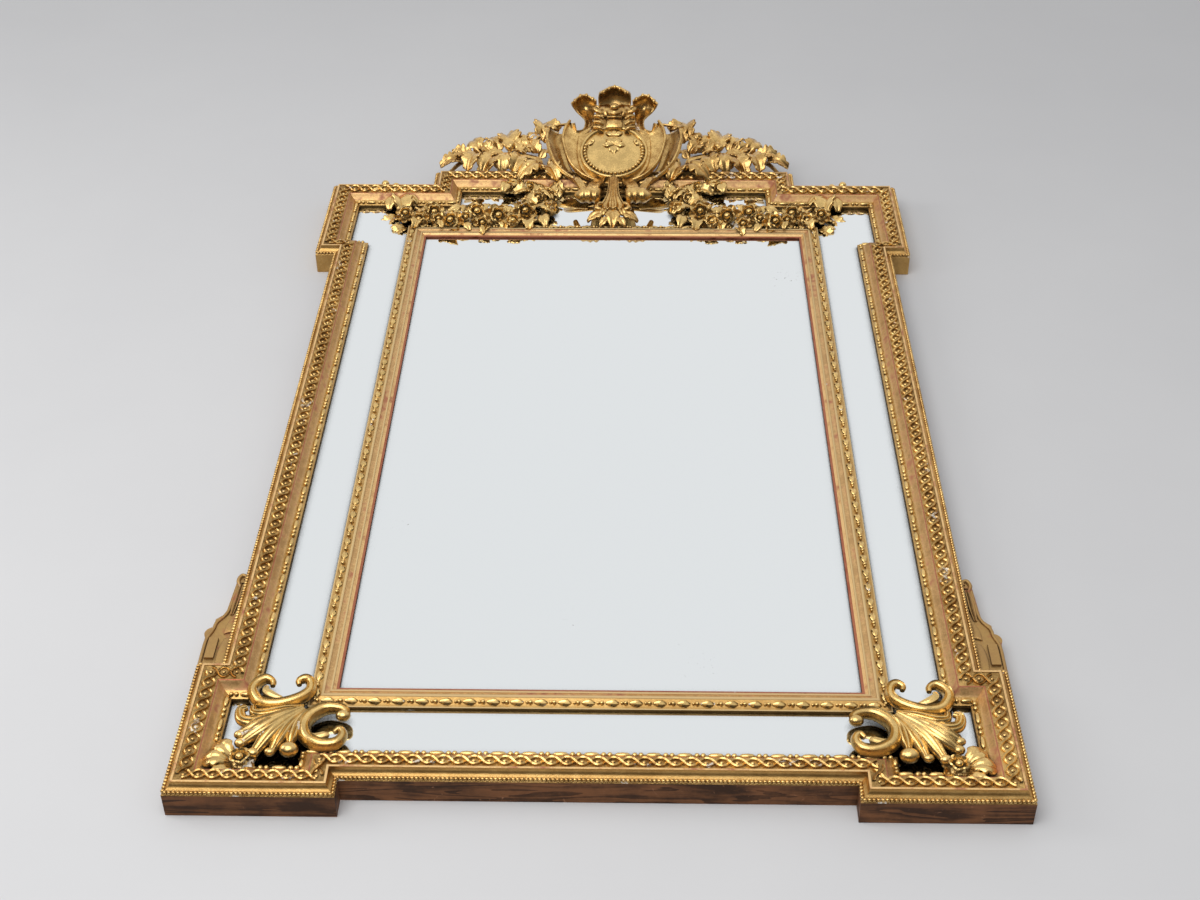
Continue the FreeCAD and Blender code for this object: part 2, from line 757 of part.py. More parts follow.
def oak_branch():
    """Stem, lobed leaves and acorns of the right branch, carved as one openwork piece."""
    field = leaning_plane(oak_start, 0, oak_off, oak_lean)

    def place(share_x, share_up):
        return share_x * oak_length, share_up * oak_height
    pieces = []
    for shares, thin in zip(oak_stem_shares, oak_stem_width_shares):
        stem = thin * oak_stem_width
        band = arc_band(*(place(*share) for share in shares), stem)
        pieces.append(field.prism(band, -stem / 2, stem / 2))
    for i, (x, up, degrees, size) in enumerate(oak_leaf_shares):
        level = (i % oak_layer_count - oak_layer_count // 2) * oak_leaf_step - oak_leaf_thickness / 2
        length = size * oak_height
        blade = field.turned(*place(x, up), degrees, level)
        pieces.append(leaf_blade(blade, length, length * oak_leaf_width_share + oak_stem_width,
                                 oak_leaf_thickness))
    for x, up in acorn_shares:
        pieces.append(Part.makeSphere(acorn_radius, field.at(*place(x, up), oak_stem_width / 2)))
    return joined(pieces)


def petal_outline(radius):
    """A round outline with one outward arc for each petal."""
    steps = []
    for i in range(rose_petals + 1):
        notch = 2 * math.pi * i / rose_petals
        crest_angle = notch - math.pi / rose_petals
        inner = radius * math.cos(math.pi / rose_petals)
        end = (inner * math.cos(notch), inner * math.sin(notch))
        via = (radius * math.cos(crest_angle), radius * math.sin(crest_angle))
        steps.append((via, end) if steps else end)
    return tuple(steps)


def rose(plane, radius, height):
    """Two rings of petals, turned against each other, round a bud."""
    lower = plane.prism(petal_outline(radius), 0, height / 2)
    turned = plane.turned(0, 0, 180 / rose_petals)
    upper = turned.prism(petal_outline(radius * rose_inner_share), 0, height * rose_inner_height_share)
    bud = Part.makeSphere(radius * rose_bud_share, plane.at(0, 0, height - radius * rose_bud_share))
    return joined([lower, upper, bud])


def garland():
    """Roses and leaves along the right half of the top strip, ending in berries on the ear."""
    field = Plane(front.at(garland_start, garland_low, garland_back), X, Z)

    def place(share_x, share_up):
        return share_x * garland_length, share_up * garland_rise
    level = garland_stem_depth / 2
    pieces = []
    for shares in garland_stem_shares:
        band = arc_band(*(place(*share) for share in shares), garland_stem_width)
        pieces.append(field.prism(band, 0, garland_stem_depth))
    for x, up, size in rose_shares:
        spot = field.turned(*place(x, up), 360 * x, level)
        pieces.append(rose(spot, rose_radius * size, rose_height * size))
    for x, up, degrees, size in garland_leaf_shares:
        length = size * garland_length
        blade = field.turned(*place(x, up), degrees, level)
        pieces.append(leaf_blade(blade, length, length * garland_leaf_width_share, garland_leaf_thickness))
    for x, up in berry_shares:
        pieces.append(Part.makeSphere(berry_radius, field.at(*place(x, up), garland_stem_depth)))
    return joined(pieces)


def acanthus():
    """Ribbed leaf with two C-scrolls over the right lower corner of the inner frame."""
    corner = Plane(front.at(sight_half + inner_width, -inner_width, acanthus_back), X, Z)
    span = acanthus_span
    scroll_top = acanthus_thickness + scroll_rise
    leaf = corner.prism(scaled(acanthus_shares, span, -span), 0, acanthus_thickness)
    pieces = [leaf]
    for shares in scroll_shares:
        band = arc_band(*((x * span, -up * span) for x, up in shares), scroll_width)
        pieces.append(corner.prism(band, 0, scroll_top))
    for x, up in scroll_eye_shares:
        pieces.append(corner.rod(x * span, -up * span, scroll_eye_radius, 0, scroll_top))
    return joined(pieces)


def corner_rose():
    """Flower over the strip of mirror, with three leaves that hold it to the moulding's corner."""
    x = ear_half - moulding_width - corner_rose_across
    up = foot_bottom + moulding_width + corner_rose_up
    spot = Plane(front.at(x, up, corner_rose_back), X, Z)
    leaves = [leaf_blade(spot.turned(0, 0, degrees), corner_leaf_length, corner_leaf_width,
                         corner_leaf_thickness) for degrees in corner_leaf_turns]
    return joined([rose(spot, corner_rose_radius, corner_rose_height)] + leaves)


def console():
    """Flat scroll bracket in the step between the right lower ear and the stile."""
    spot = Plane(front.at(stile_half, lower_ear_top), X, Z)
    body = spot.prism(scaled(console_shares, console_half, console_height), console_back, console_front)
    panel = spot.prism(scaled(console_panel_shares, console_half, console_height), console_back,
                       console_front + console_panel_rise)
    knob = spot.rod(console_knob_radius, console_knob_share * console_height, console_knob_radius,
                    console_back, console_front + console_panel_rise)
    return joined([body, panel, knob])


def main():
    os.makedirs("parts", exist_ok=True)
    nodes = {}
    mouldings = outer_mouldings()
    inner = inner_mouldings()
    core = carcase()
    strap, ring, pocket = hangers()
    core["carcase_stile_right"] = core["carcase_stile_right"].cut(pocket)
    strap_screws = [screw(front, ring_x, hang_up - share * strap_length, pocket_depth - strap_thickness,
                          strap_screw_length) for share in strap_screw_shares]
    for fastener in strap_screws:
        strap = strap.cut(fastener)
        core["carcase_stile_right"] = core["carcase_stile_right"].cut(fastener)
    core["carcase_stile_left"] = mirrored(core["carcase_stile_right"])
    nodes.update(mouldings)
    nodes.update(core)
    nodes.update(mirrors())

    boards = backing()
    tongue_middle = tongue_start + tongue_width / 2
    frame_screws = []
    for share in frame_screw_columns_shares:
        for up in (-tongue_middle, sight_height + tongue_middle):
            frame_screws.append(screw(front, share * sight_half, up, board_back, frame_screw_length))
    for share in frame_screw_rows_shares:
        for side in (-1, 1):
            frame_screws.append(screw(front, side * (sight_half + tongue_middle), share * sight_height,
                                      board_back, frame_screw_length))
    nails = []
    half = ear_half - rebate
    for i in range(board_count):
        x = -half + 2 * half * (i + 0.5) / board_count
        for up in (batten_inset, sight_height - batten_inset):
            nails.append(front.rod(x, up, nail_diameter / 2, board_back - batten_thickness,
                                   board_back - batten_thickness + nail_length))
    for name in boards:
        for fastener in frame_screws + nails:
            if boards[name].BoundBox.intersect(fastener.BoundBox):
                boards[name] = boards[name].cut(fastener)
    for name in inner:
        for fastener in frame_screws:
            if inner[name].BoundBox.intersect(fastener.BoundBox):
                inner[name] = inner[name].cut(fastener)
    nodes.update(inner)
    nodes.update(boards)

    crest_nodes = crest()
    for name, shape in crest_nodes.items():
        crest_nodes[name] = main_solid(shape.cut(mouldings["moulding_crown"]))
    upright = Plane(front.at(0, crown_top), X, -front.out)
    dowel_half = dowel_length / 2
    dowels = [upright.rod(side * corbel_half / 2, -side_height / 2, dowel_diameter / 2,
                          -dowel_half, dowel_half) for side in (-1, 1)]
    for dowel in dowels:
        crest_nodes["crest_corbel"] = crest_nodes["crest_corbel"].cut(dowel)
        nodes["carcase_crown"] = nodes["carcase_crown"].cut(dowel)
    nodes.update(crest_nodes)
    nodes["crest_dowels"] = Part.makeCompound(dowels)

    def seated(shape, *carriers):
        for carrier in carriers:
            shape = shape.cut(nodes[carrier])
        return main_solid(shape)
    nodes["crest_apron"] = seated(apron(), "crest_cartouche", "crest_medallion", "moulding_crown",
                                  "inner_moulding_top", "mirror_top")
    oak = seated(oak_branch(), "moulding_crown", "carcase_crown", "crest_cartouche", "crest_corbel")
    swag = seated(garland(), "moulding_crown", "moulding_upper_ear_top_right", "inner_moulding_top",
                  "inner_moulding_right", "crest_cartouche", "crest_medallion", "crest_apron",
                  "carcase_crown", "carcase_upper_ear_right")
    swag = main_solid(swag.cut(oak))
    leaf = seated(acanthus(), "inner_moulding_bottom", "inner_moulding_right", "moulding_bottom",
                  "moulding_lower_ear_base_right", "moulding_lower_ear_side_right", "moulding_stile_right")
    flower = seated(corner_rose(), "moulding_lower_ear_base_right", "moulding_lower_ear_side_right")
    leaf = main_solid(leaf.cut(flower))
    bracket = seated(console(), "carcase_stile_right", "carcase_lower_ear_right")
    sided = {"oak_branch": oak, "garland": swag, "corner_acanthus": leaf, "corner_rosette": flower,
             "side_console": bracket, "hanger_strap": strap, "hanger_ring": ring}
    for name, shape in sided.items():
        nodes[name + "_right"] = shape
        nodes[name + "_left"] = mirrored(shape)
    nodes["strap_screws"] = Part.makeCompound(strap_screws + [mirrored(s) for s in strap_screws])
    nodes["inner_frame_screws"] = Part.makeCompound(frame_screws)
    nodes["batten_nails"] = Part.makeCompound(nails)

    for name, shape in nodes.items():
        shape.exportStep("parts/%s.step" % name)
        print("%-34s solids %d volume %.0f valid %s"
              % (name, len(shape.Solids), shape.Volume, shape.isValid()))
    box = Part.makeCompound(list(nodes.values())).BoundBox
    print("nodes %d size %.1f x %.1f x %.1f" % (len(nodes), box.XLength, box.YLength, box.ZLength))


main()
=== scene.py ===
import math
import random

import bpy
from mathutils import Matrix, Vector


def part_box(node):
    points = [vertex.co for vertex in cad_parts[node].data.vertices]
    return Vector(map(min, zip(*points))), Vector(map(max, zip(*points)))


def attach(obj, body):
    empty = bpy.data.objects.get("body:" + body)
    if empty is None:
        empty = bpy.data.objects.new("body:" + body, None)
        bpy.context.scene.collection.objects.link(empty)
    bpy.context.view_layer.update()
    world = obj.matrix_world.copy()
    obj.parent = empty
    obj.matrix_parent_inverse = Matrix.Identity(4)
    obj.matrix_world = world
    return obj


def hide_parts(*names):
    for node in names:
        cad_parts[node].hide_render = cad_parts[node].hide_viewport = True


bl_info = {
    "name": "Gilt wall mirror",
    "version": (1, 0, 0),
    "blender": (4, 5, 0),
    "location": "View3D > Sidebar > Mirror",
    "description": "Dresses the solids of a wall mirror in carved gilding, wood, silvered glass and iron",
    "category": "Object",
}

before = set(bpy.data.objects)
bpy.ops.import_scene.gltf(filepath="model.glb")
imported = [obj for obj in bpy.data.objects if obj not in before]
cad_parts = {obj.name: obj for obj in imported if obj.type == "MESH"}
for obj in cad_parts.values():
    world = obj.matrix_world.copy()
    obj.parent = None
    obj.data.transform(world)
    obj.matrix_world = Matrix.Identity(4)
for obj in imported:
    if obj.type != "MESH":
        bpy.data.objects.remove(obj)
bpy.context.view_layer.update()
MM = 0.001
BODY = "mirror"
random.seed(7)


# The eared outline and the inner frame, in millimetres, read from the solids

def low(node):
    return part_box(node)[0] / MM


def high(node):
    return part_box(node)[1] / MM


EAR_X = high("moulding_lower_ear_side_right").x
STILE_X = high("moulding_stile_right").x
FOOT_X = low("moulding_lower_ear_base_right").x
CROWN_X = high("moulding_crown").x
RAIL_UP = low("moulding_bottom").z
FOOT_UP = low("moulding_lower_ear_base_right").z
LOWER_EAR_UP = high("moulding_lower_ear_side_right").z
UPPER_EAR_UP = low("moulding_upper_ear_side_right").z
EAR_TOP = high("moulding_upper_ear_side_right").z
CROWN_TOP = high("moulding_crown").z
INNER_X = high("inner_moulding_right").x
INNER_LOW = low("inner_moulding_bottom").z
INNER_TOP = high("inner_moulding_top").z
SIDE_LEVEL = -low("carcase_stile_right").y
GLASS_LEVEL = -low("mirror_centre").y


def outer_corners(inset):
    """Corners of the eared outline at an inset, anticlockwise from the right foot, as (x, up)."""
    right = [
        (FOOT_X + inset, RAIL_UP + inset),
        (FOOT_X + inset, FOOT_UP + inset),
        (EAR_X - inset, FOOT_UP + inset),
        (EAR_X - inset, LOWER_EAR_UP - inset),
        (STILE_X - inset, LOWER_EAR_UP - inset),
        (STILE_X - inset, UPPER_EAR_UP + inset),
        (EAR_X - inset, UPPER_EAR_UP + inset),
        (EAR_X - inset, EAR_TOP - inset),
        (CROWN_X - inset, EAR_TOP - inset),
        (CROWN_X - inset, CROWN_TOP - inset),
    ]
    return right + [(-x, up) for x, up in reversed(right)]


def inner_corners(inset):
    """Corners of the inner frame at an inset from its outer edge, anticlockwise."""
    x = INNER_X - inset
    return [(-x, INNER_LOW + inset), (x, INNER_LOW + inset), (x, INNER_TOP - inset), (-x, INNER_TOP - inset)]


# Bands of both mouldings from the outside in: finish, width, rise, bow outwards, steps
OUTER_BANDS = (
    ("shadow", 4.5, 4.0, 0.0, 1),
    ("dull", 5.5, 9.0, -1.8, 5),
    ("worn", 2.7, 0.0, 0.3, 2),
    ("dull", 0.3, -1.0, 0.0, 1),
    ("shadow", 19.0, -3.4, 0.0, 2),
    ("bole", 1.4, -0.6, 0.2, 2),
    ("burnished", 7.4, -9.5, -0.4, 4),
    ("dull", 9.2, -5.0, 0.4, 3),
    ("shadow", 0.0, -4.5, 0.0, 1),
)
INNER_BANDS = (
    ("dull", 0.0, 4.5, 0.0, 1),
    ("gilding", 1.6, 0.4, 0.2, 2),
    ("dull", 12.4, 3.6, 0.0, 3),
    ("gilding", 0.3, 1.0, 0.0, 1),
    ("gilding", 3.4, 0.0, 0.8, 4),
    ("dull", 0.2, -1.2, 0.0, 1),
    ("burnished", 5.6, -2.0, -0.8, 4),
    ("worn", 0.2, 0.8, 0.0, 1),
    ("gilding", 2.6, 0.0, 0.7, 4),
    ("dull", 0.2, -0.8, 0.0, 1),
    ("worn", 3.5, -2.6, 0.0, 2),
    ("bole", 3.0, -0.7, 0.3, 2),
    ("bole", 0.0, -3.0, 0.0, 1),
)
# The ledge behind the outer moulding, the length of a moulding's faces, and the angle of its sharp edges
LEDGE_WIDTH = 14
MOULDING_STEP = 60
MOULDING_ANGLE = 35


# Mesh helpers. Pieces are modelled in millimetres and set down by a matrix that holds the scale

def facing(x, up, off, lean=0.0):
    """A plane before the wall: x to the right, y up and leaning forward, z out of it."""
    turn = Matrix.Rotation(math.radians(90 + lean), 4, "X")
    return Matrix.Scale(MM, 4) @ Matrix.Translation((x, -off, up)) @ turn


def spot(x, y, z=0.0, turn=0.0, tip=0.0, size=1.0, roll=0.0):
    """A place on a plane, turned clockwise in it, tipped forward from it and rolled about its length."""
    place = Matrix.Translation((x, y, z)) @ Matrix.Rotation(math.radians(-turn), 4, "Z")
    place = place @ Matrix.Rotation(math.radians(tip), 4, "X") @ Matrix.Rotation(math.radians(roll), 4, "Y")
    return place @ Matrix.Scale(size, 4)


def only(piece):
    """Selects the piece alone and makes it the active one."""
    bpy.ops.object.select_all(action="DESELECT")
    piece.select_set(True)
    bpy.context.view_layer.objects.active = piece


def grid(name, columns, rows, place):
    """A grid of faces whose corners go where place(u, v) says, with u and v from 0 to 1."""
    bpy.ops.object.select_all(action="DESELECT")
    bpy.ops.mesh.primitive_grid_add(x_subdivisions=columns, y_subdivisions=rows, size=1)
    piece = bpy.context.object
    piece.name = name
    for vertex in piece.data.vertices:
        vertex.co = place(vertex.co.x + 0.5, vertex.co.y + 0.5)
    return piece


def ball(radius, segments, rings, stretch=(1, 1, 1), place=(0, 0, 0)):
    """A ball, stretched along the axes and set in its place."""
    bpy.ops.object.select_all(action="DESELECT")
    bpy.ops.mesh.primitive_uv_sphere_add(segments=segments, ring_count=rings, radius=radius)
    piece = bpy.context.object
    piece.data.transform(Matrix.Translation(place) @ Matrix.Diagonal((*stretch, 1)))
    return piece


def closed(piece, merge=0.01, ends=True):
    """Seams merged, open ends filled and faces turned outwards."""
    only(piece)
    bpy.ops.object.mode_set(mode="EDIT")
    bpy.ops.mesh.select_all(action="SELECT")
    bpy.ops.mesh.remove_doubles(threshold=merge)
    if ends:
        bpy.ops.mesh.fill_holes(sides=0)
    bpy.ops.mesh.normals_make_consistent(inside=False)
    bpy.ops.object.mode_set(mode="OBJECT")
    return piece


def modified(piece, kind, **settings):
    """A piece with one modifier added and applied."""
    only(piece)
    modifier = piece.modifiers.new(kind.title(), kind)
    for name, value in settings.items():
        setattr(modifier, name, value)
    bpy.ops.object.modifier_apply(modifier=modifier.name)
    return piece


def thickened(piece, depth, levels=0):
    """A sheet given a wall behind its face, and rounded."""
    modified(piece, "SOLIDIFY", thickness=depth, offset=-1)
    if levels:
        modified(piece, "SUBSURF", levels=levels, render_levels=levels)
    return piece


def copied(unit, matrix=None):
    """A copy with a mesh of its own, moved by the matrix."""
    twin = unit.copy()
    twin.data = unit.data.copy()
    bpy.context.scene.collection.objects.link(twin)
    if matrix is not None:
        twin.data.transform(matrix)
        if matrix.determinant() < 0:
            twin.data.flip_normals()
    return twin


def mirrored(*pieces):
    """Copies of the pieces on the other side of the middle."""
    return [copied(piece, Matrix.Diagonal((-1, 1, 1, 1))) for piece in pieces]


def discard(*pieces):
    for piece in pieces:
        bpy.data.objects.remove(piece)


def joined(name, pieces, plane=None):
    """One piece made of several, set down on its plane."""
    bpy.ops.object.select_all(action="DESELECT")
    for piece in pieces:
        piece.select_set(True)
    bpy.context.view_layer.objects.active = pieces[0]
    if len(pieces) > 1:
        bpy.ops.object.join()
    piece = bpy.context.object
    piece.name = name
    if plane is not None:
        piece.data.transform(plane)
    return piece


def spline(points):
    """A smooth curve through the points, as a function of its share from 0 to 1."""
    spots = [Vector(point).to_3d() for point in points]

    def at(share):
        run = min(max(share, 0.0), 1.0) * (len(spots) - 1)
        i = min(int(run), len(spots) - 2)
        t = run - i
        a, b = spots[i], spots[i + 1]
        before = spots[i - 1] if i else 2 * a - b
        after = spots[i + 2] if i + 2 < len(spots) else 2 * b - a
        return 0.5 * (2 * a + (b - before) * t + (2 * before - 5 * a + 4 * b - after) * t ** 2
                      + (3 * a - before - 3 * b + after) * t ** 3)
    return at


def sweep(points, width, height, shares=(1, 1), ribs=0, steps=40, around=18):
    """A bar along a smooth curve, with ribs on its face; shares give its size along the way."""
    path = spline(points)
    size = spline([(share, 0) for share in shares])

    def place(u, v):
        ahead = path(u + 0.01) - path(u - 0.01)
        across = Vector((-ahead.y, ahead.x, 0)).normalized()
        x, z = math.cos(2 * math.pi * v), math.sin(2 * math.pi * v)
        if ribs and z > 0:
            z = z ** 0.6 * (1 + 0.26 * math.cos(ribs * math.pi * x))
        return path(u) + size(u).x * (across * (x * width / 2) + Vector((0, 0, z * height / 2)))
    return closed(grid("sweep", steps, around, place))


def both_edges(edge):
    """The mirror image of an edge, and the edge."""
    return [(-x, *rest) for x, *rest in edge], edge


def sheet(edges, relief, columns=14, rows=28):
    """A sheet across two or more smooth edges, raised by what relief gives for each point."""
    curves = [spline(edge) for edge in edges]

    def place(u, v):
        point = spline([curve(v) for curve in curves])(u)
        point.z += relief(point, u, v)
        return point
    return grid("sheet", columns, rows, place)


def finished(piece, finish, replaced=(), angle=50):
    """Shades a piece, gives it its finish, ties it to the body, and hides the solids that it stands for."""
    only(piece)
    bpy.ops.object.shade_smooth_by_angle(angle=math.radians(angle))
    if finish:
        piece.data.materials.clear()
        piece.data.materials.append(material(finish))
    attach(piece, BODY)
    if replaced:
        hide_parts(*replaced)


def finished_pair(piece, finish, replaced=None):
    """Finishes the right-hand piece and its mirror image, which stand for a pair of solids."""
    twin, = mirrored(piece)
    twin.name = piece.name.replace("right", "left")
    for half, side in ((twin, "left"), (piece, "right")):
        finished(half, finish, (replaced + side,) if replaced else ())


# Materials

class Value:
    """A socket of a material, with arithmetic that adds Math nodes."""

    def __init__(self, paint, socket):
        self.paint = paint
        self.socket = socket

    def maths(self, operation, first, second):
        return self.paint.node("ShaderNodeMath", {"operation": operation}, {0: first, 1: second})

    def __add__(self, other):
        return self.maths("ADD", self, other)

    def __radd__(self, other):
        return self.maths("ADD", other, self)

    def __sub__(self, other):
        return self.maths("SUBTRACT", self, other)

    def __rsub__(self, other):
        return self.maths("SUBTRACT", other, self)

    def __mul__(self, other):
        return self.maths("MULTIPLY", self, other)

    def __rmul__(self, other):
        return self.maths("MULTIPLY", other, self)


class Paint:
    """The nodes of a material or a world under construction."""

    def __init__(self, owner):
        self.owner = owner
        owner.use_nodes = True
        self.tree = owner.node_tree
        self.tree.nodes.clear()

    def node(self, kind, settings=None, sockets=None, output=0):
        """A node with its settings made first, and then its sockets given values or links."""
        node = self.tree.nodes.new(kind)
        for name, value in (settings or {}).items():
            setattr(node, name, value)
        for key, value in (sockets or {}).items():
            if isinstance(value, Value):
                self.tree.links.new(value.socket, node.inputs[key])
            elif isinstance(value, tuple) and len(value) == 3 and node.inputs[key].type == "RGBA":
                node.inputs[key].default_value = (*value, 1)
            else:
                node.inputs[key].default_value = value
        return None if output is None else Value(self, node.outputs[output])

    def place(self, scale=(1, 1, 1)):
        """Object coordinates, stretched along the axes."""
        where = self.node("ShaderNodeTexCoord", output="Object")
        return self.node("ShaderNodeMapping", sockets={"Vector": where, "Scale": scale})

    def noise(self, where, scale, detail=4.0, roughness=0.6, distortion=0.0):
        return self.node("ShaderNodeTexNoise", sockets={
            "Vector": where, "Scale": scale, "Detail": detail, "Roughness": roughness,
            "Distortion": distortion})

    def between(self, value, start, end):
        """0 below start, 1 above end and smooth between them."""
        return self.node("ShaderNodeMapRange", {"interpolation_type": "SMOOTHSTEP"},
                         {"Value": value, "From Min": start, "From Max": end})

    def mixed(self, first, second, share):
        """The first colour where the share is 0, and the second where it is 1."""
        return self.node("ShaderNodeMix", {"data_type": "RGBA"}, {"Factor": share, 6: first, 7: second},
                         output=2)

    def hollows(self, distance, inside=False):
        """1 in the open and less in hollows, or on edges if it looks inside the piece."""
        return self.node("ShaderNodeAmbientOcclusion", {"samples": 6, "inside": inside},
                         {"Distance": distance}, output="AO")

    def bump(self, height, distance, strength):
        return self.node("ShaderNodeBump", sockets={
            "Height": height, "Distance": distance, "Strength": strength})

    def surface(self, **sockets):
        """A Principled shader, its sockets named in small letters, as the whole surface."""
        names = {key.replace("_", " ").title().replace("Ior", "IOR"): value for key, value in sockets.items()}
        shader = self.node("ShaderNodeBsdfPrincipled", sockets=names)
        self.node_out(shader)

    def node_out(self, shader, kind="ShaderNodeOutputMaterial"):
        self.node(kind, sockets={"Surface": shader}, output=None)


def gilded(name, light, deep, polish, rubbed, grime_and_shade, leafing=1.0):
    """Aged gold leaf: rubbed through to red clay, umber grime and painted shade in the hollows, chipped to
    white gesso on edges.
    """
    colours = bpy.context.scene.mirror_colours
    bole, umber, gesso = tuple(colours.bole), tuple(colours.umber), tuple(colours.gesso)
    paint = Paint(bpy.data.materials.new(name))
    where = paint.place()
    broad = paint.noise(where, 9.0, 3.0)
    patch = paint.noise(where, 60.0, 6.0, 0.65)
    speck = paint.noise(where, 480.0, 4.0, 0.7)
    open_air = paint.hollows(0.008)
    # Painted shade: the deep hollows, found by occlusion over a long distance
    deep_hollow_shade = paint.between(1 - paint.hollows(0.045), 0.5, 0.95)
    edge = 1 - paint.hollows(0.0022, inside=True)
    tone = paint.between(broad * 0.35 + patch * 0.65 + (speck - 0.5) * 0.45, 0.38, 0.66)
    gold = paint.mixed(deep, light, tone)
    thin = paint.between(patch * 0.75 + broad * 0.35 + edge * 0.12, 1.0 - 0.62 * rubbed, 1.12 - 0.55 * rubbed)
    clay = paint.mixed(gold, bole, thin * 0.85)
    # Grime in patches, and painted shade in the hollows found by occlusion over a short distance
    soil_and_shade = 1 - open_air + (patch - 0.5) * 0.35 + (speck - 0.5) * 0.2
    dirt_and_shade = paint.between(soil_and_shade, 0.62 - grime_and_shade, 1.05 - grime_and_shade)
    # The gold turns to umber with the grime and painted shade, and further in the deep hollows with painted
    # shade
    aged_and_shaded = paint.mixed(paint.mixed(clay, umber, dirt_and_shade * 0.92), umber, deep_hollow_shade * 0.62)
    chips = paint.noise(where, 26.0, 5.0, 0.72)
    chip = paint.between(chips + edge * 0.12, 0.72, 0.735)
    color = paint.mixed(aged_and_shaded, gesso, chip)
    metal = leafing * (1 - thin * 0.6) * (1 - dirt_and_shade * 0.7) * (1 - deep_hollow_shade * 0.4) * (1 - chip)
    rough = polish + (patch - 0.5) * 0.2 + thin * 0.16 + dirt_and_shade * 0.3 + chip * 0.3
    height = patch * 0.6 + speck * 0.25 - chip * 0.8 - thin * 0.12
    paint.surface(base_color=color, metallic=metal, roughness=rough, normal=paint.bump(height, 0.0007, 0.55))


def timber(name, light, dark, fineness, polish, growth, scratches):
    """Old wood with grain along one axis, pores, stains, pale scratches, and grime with painted shade in its
    hollows.
    """
    paint = Paint(bpy.data.materials.new(name))
    where = paint.place()
    along = paint.place(fineness)
    wave = paint.noise(along, 1.0, 3.0, 0.5, 0.8)
    rings = paint.node("ShaderNodeMath", {"operation": "FRACT"}, {0: wave * growth})
    ring = paint.between(rings, 0.1, 0.9)
    fibre = paint.noise(along, 7.0, 6.0, 0.7)
    stain = paint.noise(where, 16.0, 5.0, 0.65)
    rub = paint.noise(where, 90.0, 6.0, 0.7, 1.5)
    tone = ring * 0.3 + fibre * 0.5 + (stain - 0.5) * 1.3
    color = paint.mixed(dark, light, paint.between(tone, 0.15, 0.75))
    scuffed = paint.between(rub, 0.68 - scratches, 0.76 - scratches)
    color = paint.mixed(color, tuple(min(1, 2.2 * c + 0.06) for c in light), scuffed * 0.55)
    # Grime and painted shade: the wood darkens in its hollows, found by occlusion
    hollow_grime_and_shade = paint.between(1 - paint.hollows(0.02), 0.35, 0.9)
    color = paint.mixed(color, shaded(dark, 0.25), hollow_grime_and_shade * 0.7)
    rough = polish + (fibre - 0.5) * 0.25 + scuffed * 0.15
    paint.surface(base_color=color, roughness=rough, specular_ior_level=0.2,
                  normal=paint.bump(fibre * 0.7 + ring * 0.2 - scuffed * 0.3, 0.0006, 0.6))


def silvered(name):
    """Old silvered glass: nearly clear, with foxing, a tired edge with painted shadow of the frames over it,
    and faint wipes.
    """
    colours = bpy.context.scene.mirror_colours
    paint = Paint(bpy.data.materials.new(name))
    where = paint.place()
    fog = paint.noise(where, 3.0, 3.0)
    spots = paint.noise(where, 150.0, 3.0, 0.75)
    field = paint.noise(where, 5.5, 2.0)
    fox = paint.between(spots * 0.62 + field * 0.5, 0.76, 0.83)
    wipe = paint.noise(paint.place((3.0, 1.0, 0.7)), 14.0, 5.0, 0.7, 2.0)
    color = paint.mixed(tuple(colours.silver), tuple(colours.foxing), fox * 0.8)
    # Painted shadow: the glass goes nearly black where the frames stand close over it, found by occlusion
    painted_frame_shadow = paint.between(1 - paint.hollows(0.014), 0.12, 0.42)
    color = paint.mixed(color, (0.02, 0.018, 0.015), painted_frame_shadow)
    rough = 0.015 + paint.between(wipe, 0.55, 0.8) * 0.05 + fox * 0.3 + (fog - 0.5) * 0.02
    paint.surface(base_color=color, metallic=1 - fox * 0.7, roughness=rough)


def iron(name):
    """Dull iron with rust."""
    paint = Paint(bpy.data.materials.new(name))
    where = paint.place()
    patch = paint.noise(where, 160.0, 5.0, 0.7)
    pits = paint.noise(where, 900.0, 3.0)
    rust = paint.between(patch, 0.5, 0.66)
    color = paint.mixed((0.20, 0.19, 0.18), (0.17, 0.075, 0.035), rust)
    paint.surface(base_color=color, metallic=1 - rust * 0.8, roughness=0.42 + rust * 0.35,
                  normal=paint.bump(pits, 0.0002, 0.6))


def shaded(color, share):
    return tuple(share * c for c in color)


def blended(first, second, share):
    """A colour between two, by the share of the second."""
    return tuple((1 - share) * a + share * b for a, b in zip(first, second))


